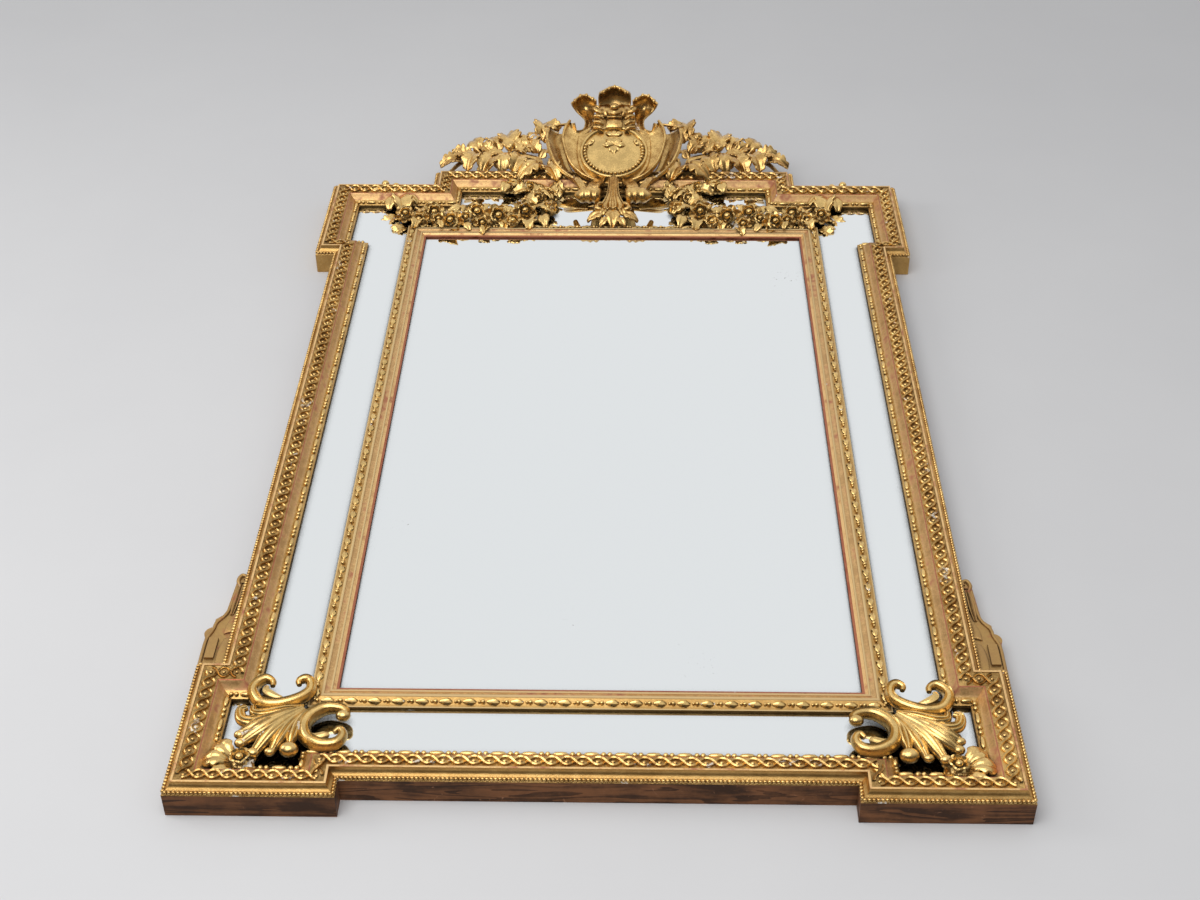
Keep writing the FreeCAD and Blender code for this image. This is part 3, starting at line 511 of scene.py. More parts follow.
def material(name):
    """The material of that name, made the first time that it is asked for."""
    if name not in bpy.data.materials:
        colours = bpy.context.scene.mirror_colours
        light, deep, bole = tuple(colours.gold_light), tuple(colours.gold_deep), tuple(colours.bole)
        pink = blended(bole, light, 0.6)
        pale_pink = tuple(c + 0.04 for c in blended(bole, light, 0.8))
        dull = blended(deep, light, 0.4)
        # Light and deep colour, roughness, wear down to the bole, grime with painted shade in the hollows,
        # and how much of the leaf is left
        golds = {
            "gilding": (light, deep, 0.30, 0.3, 0.08),
            "carved": (light, deep, 0.28, 0.24, 0.1),
            "bright": (light, shaded(light, 0.68), 0.27, 0.15, 0.08),
            "dull": (dull, deep, 0.38, 0.35, 0.12),
            "worn": (pink, pale_pink, 0.42, 0.7, 0.03, 0.7),
            "burnished": (pale_pink, shaded(pink, 0.74), 0.40, 0.76, 0.05, 0.7),
            "shadow": (dull, shaded(deep, 0.6), 0.42, 0.2, 0.2),
            "bole": (pink, bole, 0.42, 0.95, 0.08),
            "bronze": (shaded(dull, 0.75), shaded(pink, 0.6), 0.48, 0.62, 0.2),
        }
        # Light and dark colour, fineness along each axis, roughness, rings and scratches
        stain, pine = tuple(colours.carcase), tuple(colours.pine)
        woods = {
            "carcase_across": (shaded(stain, 2.6), shaded(stain, 0.55), (5.0, 50.0, 50.0), 0.55, 5.0, 0.05),
            "carcase_up": (shaded(stain, 2.6), shaded(stain, 0.55), (50.0, 50.0, 5.0), 0.55, 5.0, 0.05),
            "pine_across": (pine, shaded(pine, 0.55), (3.0, 40.0, 40.0), 0.62, 4.0, -0.04),
            "pine_up": (pine, shaded(pine, 0.55), (40.0, 40.0, 2.2), 0.62, 4.0, -0.04),
        }
        if name in golds:
            gilded(name, *golds[name])
        elif name in woods:
            timber(name, *woods[name])
        else:
            {"silvered": silvered, "iron": iron}[name](name)
    return bpy.data.materials[name]


# Mouldings and their rows of ornament

def section(bands, level, closing):
    """Points of a moulding's section as (inset, level), and the finish of each step between them."""
    inset = 0.0
    points, finishes = [(inset, level)], []
    for finish, width, rise, bow, steps in bands:
        length = math.hypot(width, rise)
        across, up = -rise / length, width / length
        for k in range(1, steps + 1):
            t = k / steps
            sag = 4 * bow * t * (1 - t)
            points.append((inset + width * t + across * sag, level + rise * t + up * sag))
            finishes.append(finish)
        inset += width
        level += rise
    for point in closing + (points[0],):
        points.append(point)
        finishes.append("gilding")
    return points, finishes


def moulding(name, corners, runs, points, finishes):
    """One moulding, mitred at its ends, along neighbouring sides of an outline."""
    kinds = sorted(set(finishes))
    parts = []
    for i in runs:
        def place(u, v):
            inset, level = points[round(v * (len(points) - 1))]
            spots = corners(inset)
            (x0, up0), (x1, up1) = spots[i], spots[(i + 1) % len(spots)]
            return Vector((x0 + (x1 - x0) * u, -level, up0 + (up1 - up0) * u)) * MM
        ends = corners(0)
        length = math.dist(ends[i], ends[(i + 1) % len(ends)])
        part = grid(name, max(2, round(length / MOULDING_STEP)), len(points) - 1, place)
        uv = part.data.uv_layers.active.data
        for kind in kinds:
            part.data.materials.append(material(kind))
        for face in part.data.polygons:
            v = sum(uv[k].uv.y for k in face.loop_indices) / face.loop_total
            face.material_index = kinds.index(finishes[min(int(v * len(finishes)), len(finishes) - 1)])
        parts.append(closed(part, 0.005 * MM))
    return joined(name, parts)


def ornament_row(name, unit, period, corners, inset, level, tilt):
    """Copies of a unit along every side of an outline, stretched a little to fit each side."""
    spots = corners(inset)
    sides = []
    out = Vector((0, -1, 0))
    for (x0, up0), (x1, up1) in zip(spots, spots[1:] + spots[:1]):
        run = Vector((x1 - x0, 0, up1 - up0))
        count = max(1, round(run.length / period))
        side = copied(unit)
        modified(side, "ARRAY", count=count, use_relative_offset=False, use_constant_offset=True,
                 constant_offset_displace=(period, 0, 0), use_merge_vertices=True, merge_threshold=0.02)
        forward = run.normalized()
        turned = Matrix((forward, out.cross(forward), out)).transposed().to_4x4()
        place = Matrix.Scale(MM, 4) @ Matrix.Translation((x0, -level, up0)) @ turned
        place = place @ Matrix.Rotation(math.radians(tilt), 4, "X")
        side.data.transform(place @ Matrix.Diagonal((run.length / count / period, 1, 1, 1)))
        sides.append(side)
    discard(unit)
    return joined(name, sides)


def rope_unit(period, width, height):
    """One slanting strand of the rope."""
    strand = ball(1, 6, 4, (period * 0.62, width / 2, height))
    strand.data.transform(Matrix.Translation((period / 2, 0, 0)) @ Matrix.Rotation(math.radians(-38), 4, "Z"))
    return strand


def guilloche_unit(period, reach, width, height):
    """Two bands that weave round an eye with a pearl in it, from eye to eye."""
    profile = ((-0.5, -0.6), (-0.4, 0.75), (0.0, 0.2), (0.4, 0.75), (0.5, -0.6))
    parts = []
    for side in (1, -1):
        def place(u, v):
            swing = math.cos(math.pi * u)
            slope = -reach * math.pi / period * math.sin(math.pi * u) * 0.8
            lift = side * 0.35 * height * math.sin(math.pi * u) ** 2
            a, b = profile[round(v * len(profile)) % len(profile)]
            y = side * (reach * math.copysign(abs(swing) ** 0.8, swing) + a * width / math.hypot(1, slope))
            x = u * period - a * width * slope / math.hypot(1, slope) * math.sin(math.pi * u)
            return Vector((x, y, b * height + lift))
        parts.append(closed(grid("band", 6, len(profile), place), ends=False))
    parts.append(ball(reach * 0.36, 7, 4, (1, 1, 0.6)))
    return joined("guilloche_unit", parts)


def bar_unit(period, radius):
    """A rounded bar and two beads."""
    bar = ball(1, 8, 6)
    bar.data.transform(Matrix.Rotation(math.radians(90), 4, "Y"))
    for vertex in bar.data.vertices:
        vertex.co.x = math.copysign(abs(vertex.co.x) ** 0.6, vertex.co.x)
    stretch = Matrix.Diagonal((period * 0.25, radius, radius, 1))
    bar.data.transform(Matrix.Translation((period * 0.29, 0, 0)) @ stretch)
    beads = [ball(radius, 7, 5, place=(period * share, 0, 0)) for share in (0.68, 0.88)]
    return joined("bar_unit", [bar] + beads)


def husk_unit(period, width, height):
    """A husk leaf with a bead at either end."""
    husk = leaf(period * 0.62, width, lobes=2.5, bite=0.45, cup=-0.25, vein=0.12, rows=8, columns=4)
    thickened(husk, 2.4)
    foot = Matrix.Translation((period * 0.24, 0, height * 0.5))
    husk.data.transform(foot @ Matrix.Rotation(math.radians(-90), 4, "Z"))
    beads = [ball(width * size, 7, 5, place=(period * share, 0, height * 0.25))
             for size, share in ((0.3, 0.1), (0.2, 0.94))]
    return joined("husk_unit", [husk] + beads)


# Leaves, flowers and rolled straps

def leaf(length, width, lobes=3.0, bite=0.3, blunt=0.8, arch=0.1, curl=0.1, cup=0.15, vein=0.06,
         columns=8, rows=18):
    """A carved leaf along y from its stem, its face towards z. Shares are of its length or width."""
    def place(u, v):
        side = 2 * u - 1
        reach = abs(side)
        swell = math.sin(math.pi * (0.06 + 0.9 * v)) ** blunt
        valley = 1 - abs(math.sin(math.pi * lobes * v)) ** 0.7
        x = width / 2 * side * swell * (1 - bite * valley * reach ** 1.5)
        y = length * (v + 0.1 * reach * (1 - v) * min(1, 3 * v))
        z = length * (arch * math.sin(math.pi * v) - curl * v ** 3)
        z += width * (cup * side * side * (1 - 0.7 * valley) - vein * math.exp(-(side / 0.15) ** 2))
        return Vector((x, y, z))
    return grid("leaf", columns, rows, place)


LEAF_LENGTH = 100


def leaf_between(unit, start, end, tip, roll, level):
    """A copy of a leaf that is LEAF_LENGTH long, laid from one place to another."""
    run = Vector(end) - Vector(start)
    turn = math.degrees(math.atan2(run.x, run.y))
    return copied(unit, spot(*start, level, turn, tip, run.length / LEAF_LENGTH, roll))


def flower(radius, height):
    """A full flower: rings of cupped petals round a bud, facing z."""
    core = ball(radius * 0.66, 12, 8, (1, 1, 0.5))
    bud = ball(radius * 0.26, 10, 8, (1, 1, 0.9), (0, 0, height * 0.7))
    parts = [core, bud]
    petal = leaf(1, 0.95, lobes=1, bite=0, blunt=0.42, arch=0.12, curl=-0.1, cup=0.22, columns=4, rows=5)
    thickened(petal, 0.16)
    for count, start, level, tilt, length in ((7, 0.36, 0.1, 16, 0.68), (5, 0.22, 0.36, 50, 0.6)):
        foot = Matrix.Translation((0, radius * start, height * level))
        lean = Matrix.Rotation(math.radians(tilt), 4, "X")
        for i in range(count):
            turn = Matrix.Rotation(2 * math.pi * (i + start) / count, 4, "Z")
            parts.append(copied(petal, turn @ foot @ lean @ Matrix.Scale(radius * length, 4)))
    discard(petal)
    return joined("flower", parts)


def hood(edges, teeth):
    """A strap across smooth edges that rolls forward into a hood, with teeth along its lip."""
    parts = [thickened(sheet(edges, lambda point, u, v: 0.0, 16, 30), 4, 1)]
    lip = spline([spline(edge)(1) for edge in edges])
    width = (lip(1) - lip(0)).length
    tooth = ball(1, 10, 8, (0.3 * width / teeth, 4.5, 3.2))
    for k in range(teeth):
        parts.append(copied(tooth, Matrix.Translation(lip((k + 0.5) / teeth) + Vector((0, 2, 1)))))
    discard(tooth)
    return joined("hood", parts)


class MirrorOperator(bpy.types.Operator):
    """A step of the mirror's dressing"""
    bl_options = {"REGISTER", "UNDO"}


class GildMouldings(MirrorOperator):
    """Runs the outer and inner mouldings along their outlines"""
    bl_idname = "wall_mirror.gild_mouldings"
    bl_label = "Gild mouldings"

    def execute(self, context):
        outer = section(OUTER_BANDS, SIDE_LEVEL, ((LEDGE_WIDTH, GLASS_LEVEL), (LEDGE_WIDTH, SIDE_LEVEL)))
        right = {"lower_ear_base": (0, 1), "lower_ear_side": (2, 3), "stile": (4,), "upper_ear_side": (5, 6),
                 "upper_ear_top": (7, 8)}
        last = len(outer_corners(0)) - 1
        runs = {"crown": (9,), "bottom": (last,)}
        for part, sides in right.items():
            runs[part + "_right"] = sides
            runs[part + "_left"] = tuple(last - 1 - i for i in sides)
        for part, sides in runs.items():
            piece = moulding("gilt_" + part, outer_corners, sides, *outer)
            finished(piece, None, ("moulding_" + part,), MOULDING_ANGLE)
        inner = section(INNER_BANDS, GLASS_LEVEL, ())
        for i, part in enumerate(("bottom", "right", "top", "left")):
            piece = moulding("gilt_inner_" + part, inner_corners, (i,), *inner)
            finished(piece, None, ("inner_moulding_" + part,), MOULDING_ANGLE)
        return {"FINISHED"}


class LayOrnamentRows(MirrorOperator):
    """Lays the rope, the guilloche, the bars and beads, and the husks along the mouldings"""
    bl_idname = "wall_mirror.lay_ornament_rows"
    bl_label = "Lay rows of ornament"

    def execute(self, context):
        sizes = context.scene.mirror_sizes
        rope, eye = sizes.rope_period / MM, sizes.guilloche_period / MM
        bar, husk = sizes.bar_period / MM, sizes.husk_period / MM
        # Finish, name, unit, period, outline, inset, level and tilt
        rows = (
            ("carved", "rope_edge", rope_unit(rope, 5.6, 2.9), rope,
             outer_corners, 2.2, SIDE_LEVEL + 2.6, 35),
            ("carved", "guilloche", guilloche_unit(eye, 6.8, 4.0, 2.3), eye,
             outer_corners, 22.5, SIDE_LEVEL + 11.2, -10),
            ("bright", "sight_bars", bar_unit(bar, 3.6), bar,
             outer_corners, 45.6, SIDE_LEVEL - 3.4, -28),
            ("bright", "inner_husks", husk_unit(husk, 10, 4), husk,
             inner_corners, 7.8, GLASS_LEVEL + 6.8, 16),
        )
        for finish, *row in rows:
            finished(ornament_row(*row), finish)
        return {"FINISHED"}


# The crest's plane: its lean in degrees, and its middle over the crown and before the wall
CREST_LEAN = 20
CREST_RISE = 9
CREST_OFF = 70
# The pendant's plane
PENDANT_LEAN = 7
PENDANT_OFF = 33
# The medallion's section as radius and level
MEDAL_PROFILE = (
    (0.3, -4), (61, -4), (61, 5), (59.8, 8), (57.5, 9), (55, 8), (54, 5.2), (48, 6.2), (40, 8.4), (28, 10.6),
    (14, 11.8), (0.3, 12.2),
)


class CarveCrest(MirrorOperator):
    """Carves the cartouche with its wings and hoods, the medallion, the clasp and the pendant"""
    bl_idname = "wall_mirror.carve_crest"
    bl_label = "Carve crest"

    def execute(self, context):
        plane = facing(0, CROWN_TOP + CREST_RISE, CREST_OFF, CREST_LEAN)
        self.cartouche(plane)
        self.medallion(plane)
        self.clasp(plane)
        self.middle_hood(plane)
        self.pendant()
        return {"FINISHED"}

    def cartouche(self, plane):
        def dished(point, u, v):
            return point.x ** 2 / 380 - 3
        edge = ((16, -66), (40, -57), (58, -36), (65, -6), (65, 22), (62, 44), (54, 54), (46, 62), (40, 72),
                (38, 86), (34, 98), (28, 106))
        ground = thickened(sheet(both_edges(edge), dished, 24, 30), 9, 1)
        wing = thickened(sheet((
            ((22, -50), (42, -34), (53, -10), (54, 14), (54, 32), (60, 41), (67, 43), (73, 50), (77, 62)),
            ((28, -62), (54, -53), (73, -34), (83, -12), (87, 4), (90, 20), (89, 34), (86, 48), (79, 65))),
            lambda point, u, v: dished(point, u, v) - 3.5 * math.sin(math.pi * u)), 6, 1)
        trough = thickened(sheet((
            ((34, -60), (58, -48), (76, -22), (84, 4), (87, 26), (87, 46), (84, 66)),
            ((44, -66), (76, -50), (98, -28), (110, -2), (116, 20), (118, 38), (114, 60))),
            lambda point, u, v: -14 + 17 * u ** 1.6 - 6 * math.sin(math.pi * u)), 6, 1)
        wing_rim = ((79, 66, 14), (86, 49, 17), (89, 34, 18), (90, 20, 18), (87, 4, 17), (83, -12, 15),
                    (73, -34, 11), (54, -53, 6), (30, -63, 2))
        trough_rim = ((86, 66, 4), (100, 63, 5), (114, 60, 5), (119, 38, 5), (116, 20, 5), (111, -2, 5),
                      (99, -28, 3), (77, -51, 0), (46, -66, -2))
        rims = [sweep(points, 5, 6, around=12) for points in (wing_rim, trough_rim)]
        roll = hood((
            ((78, 65, 13), (72, 47, 9), (64, 40, 6.5), (55, 42, 5), (45, 50.5, 4), (38.5, 65, 3), (38, 85, 0),
             (37.5, 99, -3), (36, 109, -4), (33.5, 114, 2), (33, 112, 12), (33.5, 106, 20)),
            ((75, 64, 11), (71, 50, 6), (65, 45.5, 3), (58, 47, 1.5), (50, 53, 0.5), (45.5, 65, -1),
             (45.5, 84, -4), (49, 100, -8), (53, 114, -9), (56, 123, 0), (57, 125, 11), (56, 119, 21)),
            ((72, 63.5, 13), (69, 53, 9), (66, 50, 7), (61, 51.5, 6), (55.5, 55, 5), (52, 66, 3), (52, 83, 0),
             (58.5, 94, -2), (66.5, 103, -3), (73.5, 107, 3), (76.5, 105, 12), (75.5, 100, 20))), 4)
        lug = thickened(leaf(30, 24, lobes=2.5, arch=0.2, curl=0.3), 5, 1)
        lug.data.transform(spot(96, 58, 0, 62, 10))
        right = [wing, trough, roll, lug] + rims
        piece = joined("crest_shield", right + mirrored(*right) + [ground], plane)
        finished(piece, "carved", ("crest_cartouche",))

    def medallion(self, plane):
        def place(u, v):
            turn = 2 * math.pi * u
            r, z = MEDAL_PROFILE[round(v * (len(MEDAL_PROFILE) - 1))]
            return Vector((r * math.cos(turn), r * math.sin(turn), z))
        parts = [closed(grid("disc", 72, len(MEDAL_PROFILE) - 1, place))]
        bead, count, ring = ball(3.3, 8, 6), 28, 51
        for i in range(count):
            turn = math.radians(165 + 210 * i / (count - 1))
            centre = Vector((ring * math.cos(turn), ring * math.sin(turn), 8.2))
            parts.append(copied(bead, Matrix.Translation(centre)))
        plume = thickened(leaf(18, 11, lobes=1.5, bite=0.25, arch=0.16, cup=-0.2, vein=0.12), 2, 1)
        spray = (
            (0, 12, 0, 1.0), (0, 12, 48, 1.1), (0, 12, -48, 1.1), (0, 12, 96, 1.2), (0, 12, -96, 1.2),
            (0, 8, 145, 0.9), (0, 8, -145, 0.9), (0, 8, 180, 1.1), (0, 34, 0, 0.8), (0, 34, 60, 1.0),
            (0, 34, -60, 1.0), (36, 20, 20, 0.7), (-36, 20, -20, 0.7), (36, 20, 120, 0.6),
            (-36, 20, -120, 0.6),
        )
        for x, y, turn, size in spray:
            parts.append(copied(plume, spot(x, y, 13.4 - (x * x + y * y) / 420, turn, size=size)))
        discard(bead, plume)
        finished(joined("crest_medal", parts, plane), "bright", ("crest_medallion",))

    def clasp(self, plane):
        def ribbed(point, u, v):
            swell = math.sin(math.pi * v) * math.sin(math.pi * u) ** 0.6
            return 2 + 7 * swell + 1.2 * math.cos(8 * math.pi * u)

        def swollen(point, u, v):
            return 8 + 4 * math.sin(math.pi * v) + 2 * math.sin(math.pi * u)
        cap = thickened(sheet(both_edges(((28, 86), (34, 94), (33, 106), (27, 118))), ribbed, 24, 10), 7, 1)
        tablet = thickened(sheet(both_edges(((17, 52), (15, 64), (12, 76))), swollen, 8, 8), 8, 1)
        jewel = ball(8.5, 20, 12, (1, 0.85, 0.8), (0, 102, 11))
        lip = sweep(((-14, 93, 10), (-9, 86, 13), (0, 83, 14), (9, 86, 13), (14, 93, 10)), 5, 6,
                    (0.6, 1, 1, 1, 0.6))
        shelf = sweep(((-13, 80, 8), (0, 78, 11), (13, 80, 8)), 4, 5)
        parts = [cap, tablet, jewel, lip, shelf]
        knob = ((24, 90, 9), (32, 92, 11), (36, 98, 11), (33, 104, 10), (28, 101, 10))
        for side in (-1, 1):
            for rise in (78, 64, 51):
                bar = ((side * 19, rise - 3, 9), (side * 27, rise, 12), (side * 36, rise + 4, 9))
                parts.append(sweep(bar, 6, 8, (0.9, 1, 0.9), steps=12, around=12))
            points = [(side * x, y, z) for x, y, z in knob]
            parts.append(sweep(points, 7, 8, (1, 1, 1, 0.8, 0.5), 2, 20, 14))
        finished(joined("crest_buckle", parts, plane), "carved", ("crest_clasp",))

    def middle_hood(self, plane):
        side = ((27, 92, -5), (28, 106, -8), (28.5, 118, -9), (29, 126, -6), (29, 130, 2), (28, 130, 12),
                (26, 127, 19), (24, 121, 23))
        middle = ((0, 92, -8), (0, 108, -13), (0, 124, -15), (0, 136, -10), (0, 143, 0), (0, 144, 11),
                  (0, 141, 19.5), (0, 135.5, 24.5))
        left, right = both_edges(side)
        piece = joined("crest_hood", [hood((left, middle, right), 5)], plane)
        finished(piece, "carved", ("crest_roll_centre",))

    def pendant(self):
        tip, top = (corner.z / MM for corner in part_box("crest_apron"))
        plane = facing(0, tip, PENDANT_OFF, PENDANT_LEAN)

        def fluted(point, u, v):
            return 8 + 8 * math.sin(math.pi * u) ** 0.7 + 1.8 * math.cos(10 * math.pi * u) * (1 - 0.5 * v)
        edge = ((23, 29), (27, 40), (20, 52), (13, 70), (10, 92), (9, top - tip - 4))
        parts = [thickened(sheet(both_edges(edge), fluted, 40, 24), 8, 1)]
        blade = leaf(50, 30, lobes=3.5, bite=0.4, arch=0.14, curl=0.16, cup=-0.12, vein=0.14)
        thickened(blade, 6, 1)
        for x, y, turn, size, level in (
                (0, 42, 180, 1.0, 10), (8, 29, 112, 0.8, 8), (-8, 29, -112, 0.8, 8), (5, 18, 142, 0.56, 7),
                (-5, 18, -142, 0.56, 7), (10, 38, 150, 0.5, 11), (-10, 38, -150, 0.5, 11)):
            parts.append(copied(blade, spot(x, y, level, turn, -4, size)))
        discard(blade)
        strap = thickened(sheet((
            ((12, 134, 0), (15, 112, 4), (18, 95, 16), (21, 80, 25), (23, 64, 30)),
            ((35, 134, 0), (38, 112, 4), (40, 95, 16), (43, 80, 25), (46, 64, 30))),
            lambda point, u, v: -3.5 * math.sin(math.pi * u), 10, 16), 6, 1)
        foot = sweep(((22, 57, 20), (30, 58, 21), (38, 59, 21), (47, 59, 21), (56, 60, 20), (65, 63, 18)),
                     33, 28, (0.72, 1.0, 0.84, 1.04, 0.86, 0.96, 0.66, 0.3), 0, 40, 22)
        horn = sweep(((50, 66, 24), (57, 82, 26), (63, 97, 24), (67, 108, 19)),
                     12, 11, (1, 1, 0.95, 0.75), 2, 20, 14)
        curl = sweep(((19, 46, 12), (27, 42, 12), (27, 32, 12), (20, 29, 12)),
                     9, 10, (0.7, 1, 1, 0.6), 0, 20, 14)
        right = [strap, foot, horn, curl]
        parts += right + mirrored(*right)
        finished(joined("crest_pendant", parts, plane), "carved", ("crest_apron",))


class GrowOak(MirrorOperator):
    """Grows the two oak branches on the crown"""
    bl_idname = "wall_mirror.grow_oak"
    bl_label = "Grow oak branches"

    # The branch's foot from the middle and before the wall, its lean in degrees, its length and height
    foot_x, off, lean = 112, 36, 14
    length, height = 190, 134
    # Foot and tip of each leaf, as shares of the branch's length and height
    leaves = (
        (0.10, 0.65, 0.09, 1.03), (0.17, 0.42, 0.28, 0.88), (0.36, 0.45, 0.45, 0.84),
        (0.50, 0.45, 0.61, 0.72), (0.65, 0.40, 0.79, 0.70), (0.75, 0.29, 0.95, 0.34),
        (0.84, 0.20, 1.04, 0.11), (0.11, 0.29, 0.02, 0.51), (0.24, 0.38, 0.41, 0.44),
        (0.45, 0.33, 0.62, 0.29), (0.02, 0.11, -0.05, 0.28), (0.16, 0.50, 0.20, 0.74),
        (0.08, 0.60, -0.03, 0.84), (0.30, 0.40, 0.34, 0.66), (0.56, 0.38, 0.69, 0.52),
        (0.12, 0.36, 0.24, 0.56),
    )
    # The leaves that hang before the moulding
    low_leaves = (
        (0.69, 0.22, 0.78, -0.08), (0.43, 0.26, 0.46, -0.08), (0.54, 0.24, 0.64, -0.08),
        (0.28, 0.22, 0.34, -0.08), (0.06, 0.04, 0.30, -0.18), (0.04, 0.04, -0.07, -0.25),
        (0.20, 0.12, 0.16, -0.14),
    )
    acorns = ((0.45, 0.13), (0.39, 0.47), (0.10, 0.06), (0.86, 0.34), (0.2, 0.66))

    def execute(self, context):
        def at(x, up, z=0.0):
            return x * self.length, up * self.height, z
        bough = ((0.09, -0.05), (0.1, 0.1), (0.12, 0.24), (0.22, 0.31), (0.38, 0.35), (0.56, 0.35),
                 (0.72, 0.3), (0.86, 0.18), (0.94, 0.02))
        twig = ((0.06, 0.0), (0.14, 0.14), (0.26, 0.22), (0.36, 0.22), (0.46, 0.2))
        parts = [
            sweep([at(x, up) for x, up in bough], 10, 10, (1.2, 1.1, 1.0, 1.0, 0.9, 0.8, 0.75, 0.7, 0.6),
                  2, 44, 14),
            sweep([at(x, up, 2) for x, up in twig], 7, 7, (1.0, 1.0, 0.9, 0.7, 0.5), 2, 24, 12),
        ]
        blades = [thickened(leaf(LEAF_LENGTH, 78, lobes=3.5, bite=0.42, blunt=0.5, arch=0.2, curl=curl,
                                 cup=cup, vein=0.12, columns=10, rows=28), 8, 1)
                  for curl, cup in ((0.24, 0.14), (0.3, -0.16), (0.16, 0.18))]
        for leaves, level in ((self.leaves, 2), (self.low_leaves, 16)):
            for i, (x0, up0, x1, up1) in enumerate(leaves):
                parts.append(leaf_between(
                    blades[i % len(blades)], at(x0, up0)[:2], at(x1, up1)[:2], random.uniform(0, 14),
                    random.uniform(-20, 20), level + random.uniform(-3, 5)))
        discard(*blades)
        for x, up in self.acorns:
            nut = ball(7.5, 14, 10, (0.9, 1.25, 0.9))
            cup = ball(8.6, 14, 8, (1, 0.66, 1), (0, -5, 0))
            parts.append(joined("acorn", [nut, cup], spot(*at(x, up, 8), random.uniform(-40, 40), 20)))
        piece = joined("oak_spray_right", parts, facing(self.foot_x, CROWN_TOP, self.off, self.lean))
        finished_pair(piece, "carved", "oak_branch_")
        return {"FINISHED"}


class HangGarlands(MirrorOperator):
    """Hangs the garlands of flowers and leaves over the top strip of mirror"""
    bl_idname = "wall_mirror.hang_garlands"
    bl_label = "Hang garlands"

    # The garland's start from the middle, over the inner frame and before the wall, its length and rise
    start_x, start_up, off = 104, 10, 27
    length, rise = 280, 130
    # Places as shares of the garland's length and rise, with a size
    flowers = (
        (0.17, 0.21, 0.96), (0.34, 0.06, 1.05), (0.47, 0.13, 0.98), (0.73, 0.16, 0.9), (0.60, -0.08, 0.95),
        (0.23, -0.08, 0.85), (0.02, 0.31, 0.7), (0.90, 0.12, 0.75), (0.21, 1.02, 0.66), (0.16, 0.85, 0.64),
        (0.03, 1.04, 0.6), (0.69, -0.02, 0.66), (0.28, 0.88, 0.6), (0.09, 0.56, 0.66), (0.80, -0.01, 0.75),
        (0.42, -0.1, 0.7), (0.52, 0.0, 0.7),
    )
    # Foot and tip of each leaf
    leaves = (
        (0.29, 0.24, 0.20, 0.12), (0.06, 0.19, 0.04, -0.09), (0.12, 0.50, 0.08, 0.74),
        (0.13, 0.53, 0.03, 0.68), (0.04, 0.92, 0.01, 0.53), (0.64, 0.18, 0.54, 0.27),
        (0.64, 0.08, 0.54, 0.0), (0.98, 0.64, 1.02, 0.33), (0.97, 0.64, 0.91, 0.24),
        (0.95, 0.64, 0.83, 0.48), (0.38, -0.14, 0.42, -0.30), (0.30, 0.98, 0.31, 0.72),
        (0.24, 0.91, 0.30, 1.13), (0.15, 1.08, 0.07, 1.16), (0.15, 0.03, 0.13, -0.22),
        (0.09, 0.74, 0.00, 0.52), (0.05, 0.78, -0.04, 0.58), (0.54, -0.06, 0.49, -0.24),
        (0.26, 0.05, 0.29, -0.2), (0.42, 0.18, 0.40, 0.38), (0.53, 0.1, 0.52, 0.32),
        (0.28, 0.14, 0.27, 0.36), (0.78, 0.1, 0.83, 0.32), (0.68, -0.05, 0.66, -0.24),
        (0.80, -0.02, 0.83, -0.22), (0.1, 0.35, -0.01, 0.2), (0.1, 0.4, 0.19, 0.55),
        (0.08, 0.6, 0.18, 0.72), (0.14, 0.8, 0.25, 0.7), (0.2, 0.95, 0.32, 0.88), (0.02, 1.0, -0.05, 0.8),
        (0.1, 1.0, 0.12, 0.74), (0.2, 0.02, 0.24, -0.2),
    )
    # The leaves that droop to the glass
    low_leaves = ((0.95, 0.23, 1.05, 0.02), (0.91, -0.02, 1.0, -0.13), (0.89, -0.08, 0.97, -0.23))
    berries = ((1.06, 0.86), (0.99, 0.79), (1.10, 0.68))

    def execute(self, context):
        def at(x, up, z=0.0):
            return x * self.length, up * self.rise, z
        stem = ((0.05, 1.05), (0.02, 0.75), (0.01, 0.45), (0.04, 0.16), (0.16, 0.04), (0.34, -0.03),
                (0.54, -0.02), (0.74, 0.04), (0.88, 0.12), (0.96, 0.4), (1.0, 0.7))
        parts = [sweep([at(x, up, -2) for x, up in stem], 8, 8, steps=60, around=10)]
        bloom = flower(22, 22)
        for x, up, size in self.flowers:
            place = spot(*at(x, up, 5), 0, random.uniform(24, 48), size, random.uniform(-18, 18))
            parts.append(copied(bloom, place @ Matrix.Rotation(random.uniform(0, 6.28), 4, "Z")))
        blades = [thickened(leaf(LEAF_LENGTH, 64, lobes=3.5, blunt=0.55, arch=0.2, curl=curl, cup=cup,
                                 vein=0.12, rows=24), 11, 1)
                  for curl, cup in ((0.16, 0.2), (0.1, -0.14))]
        for leaves, level, tip in ((self.leaves, 7, 4), (self.low_leaves, -4, -12)):
            for i, (x0, up0, x1, up1) in enumerate(leaves):
                parts.append(leaf_between(
                    blades[i % len(blades)], at(x0, up0)[:2], at(x1, up1)[:2], tip + random.uniform(-6, 6),
                    random.uniform(-16, 16), level + random.uniform(-3, 4)))
        discard(bloom, *blades)
        parts += [ball(7, 14, 10, place=at(x, up, 12)) for x, up in self.berries]
        plane = facing(self.start_x, INNER_TOP + self.start_up, self.off)
        finished_pair(joined("rose_swag_right", parts, plane), "bright", "garland_")
        return {"FINISHED"}


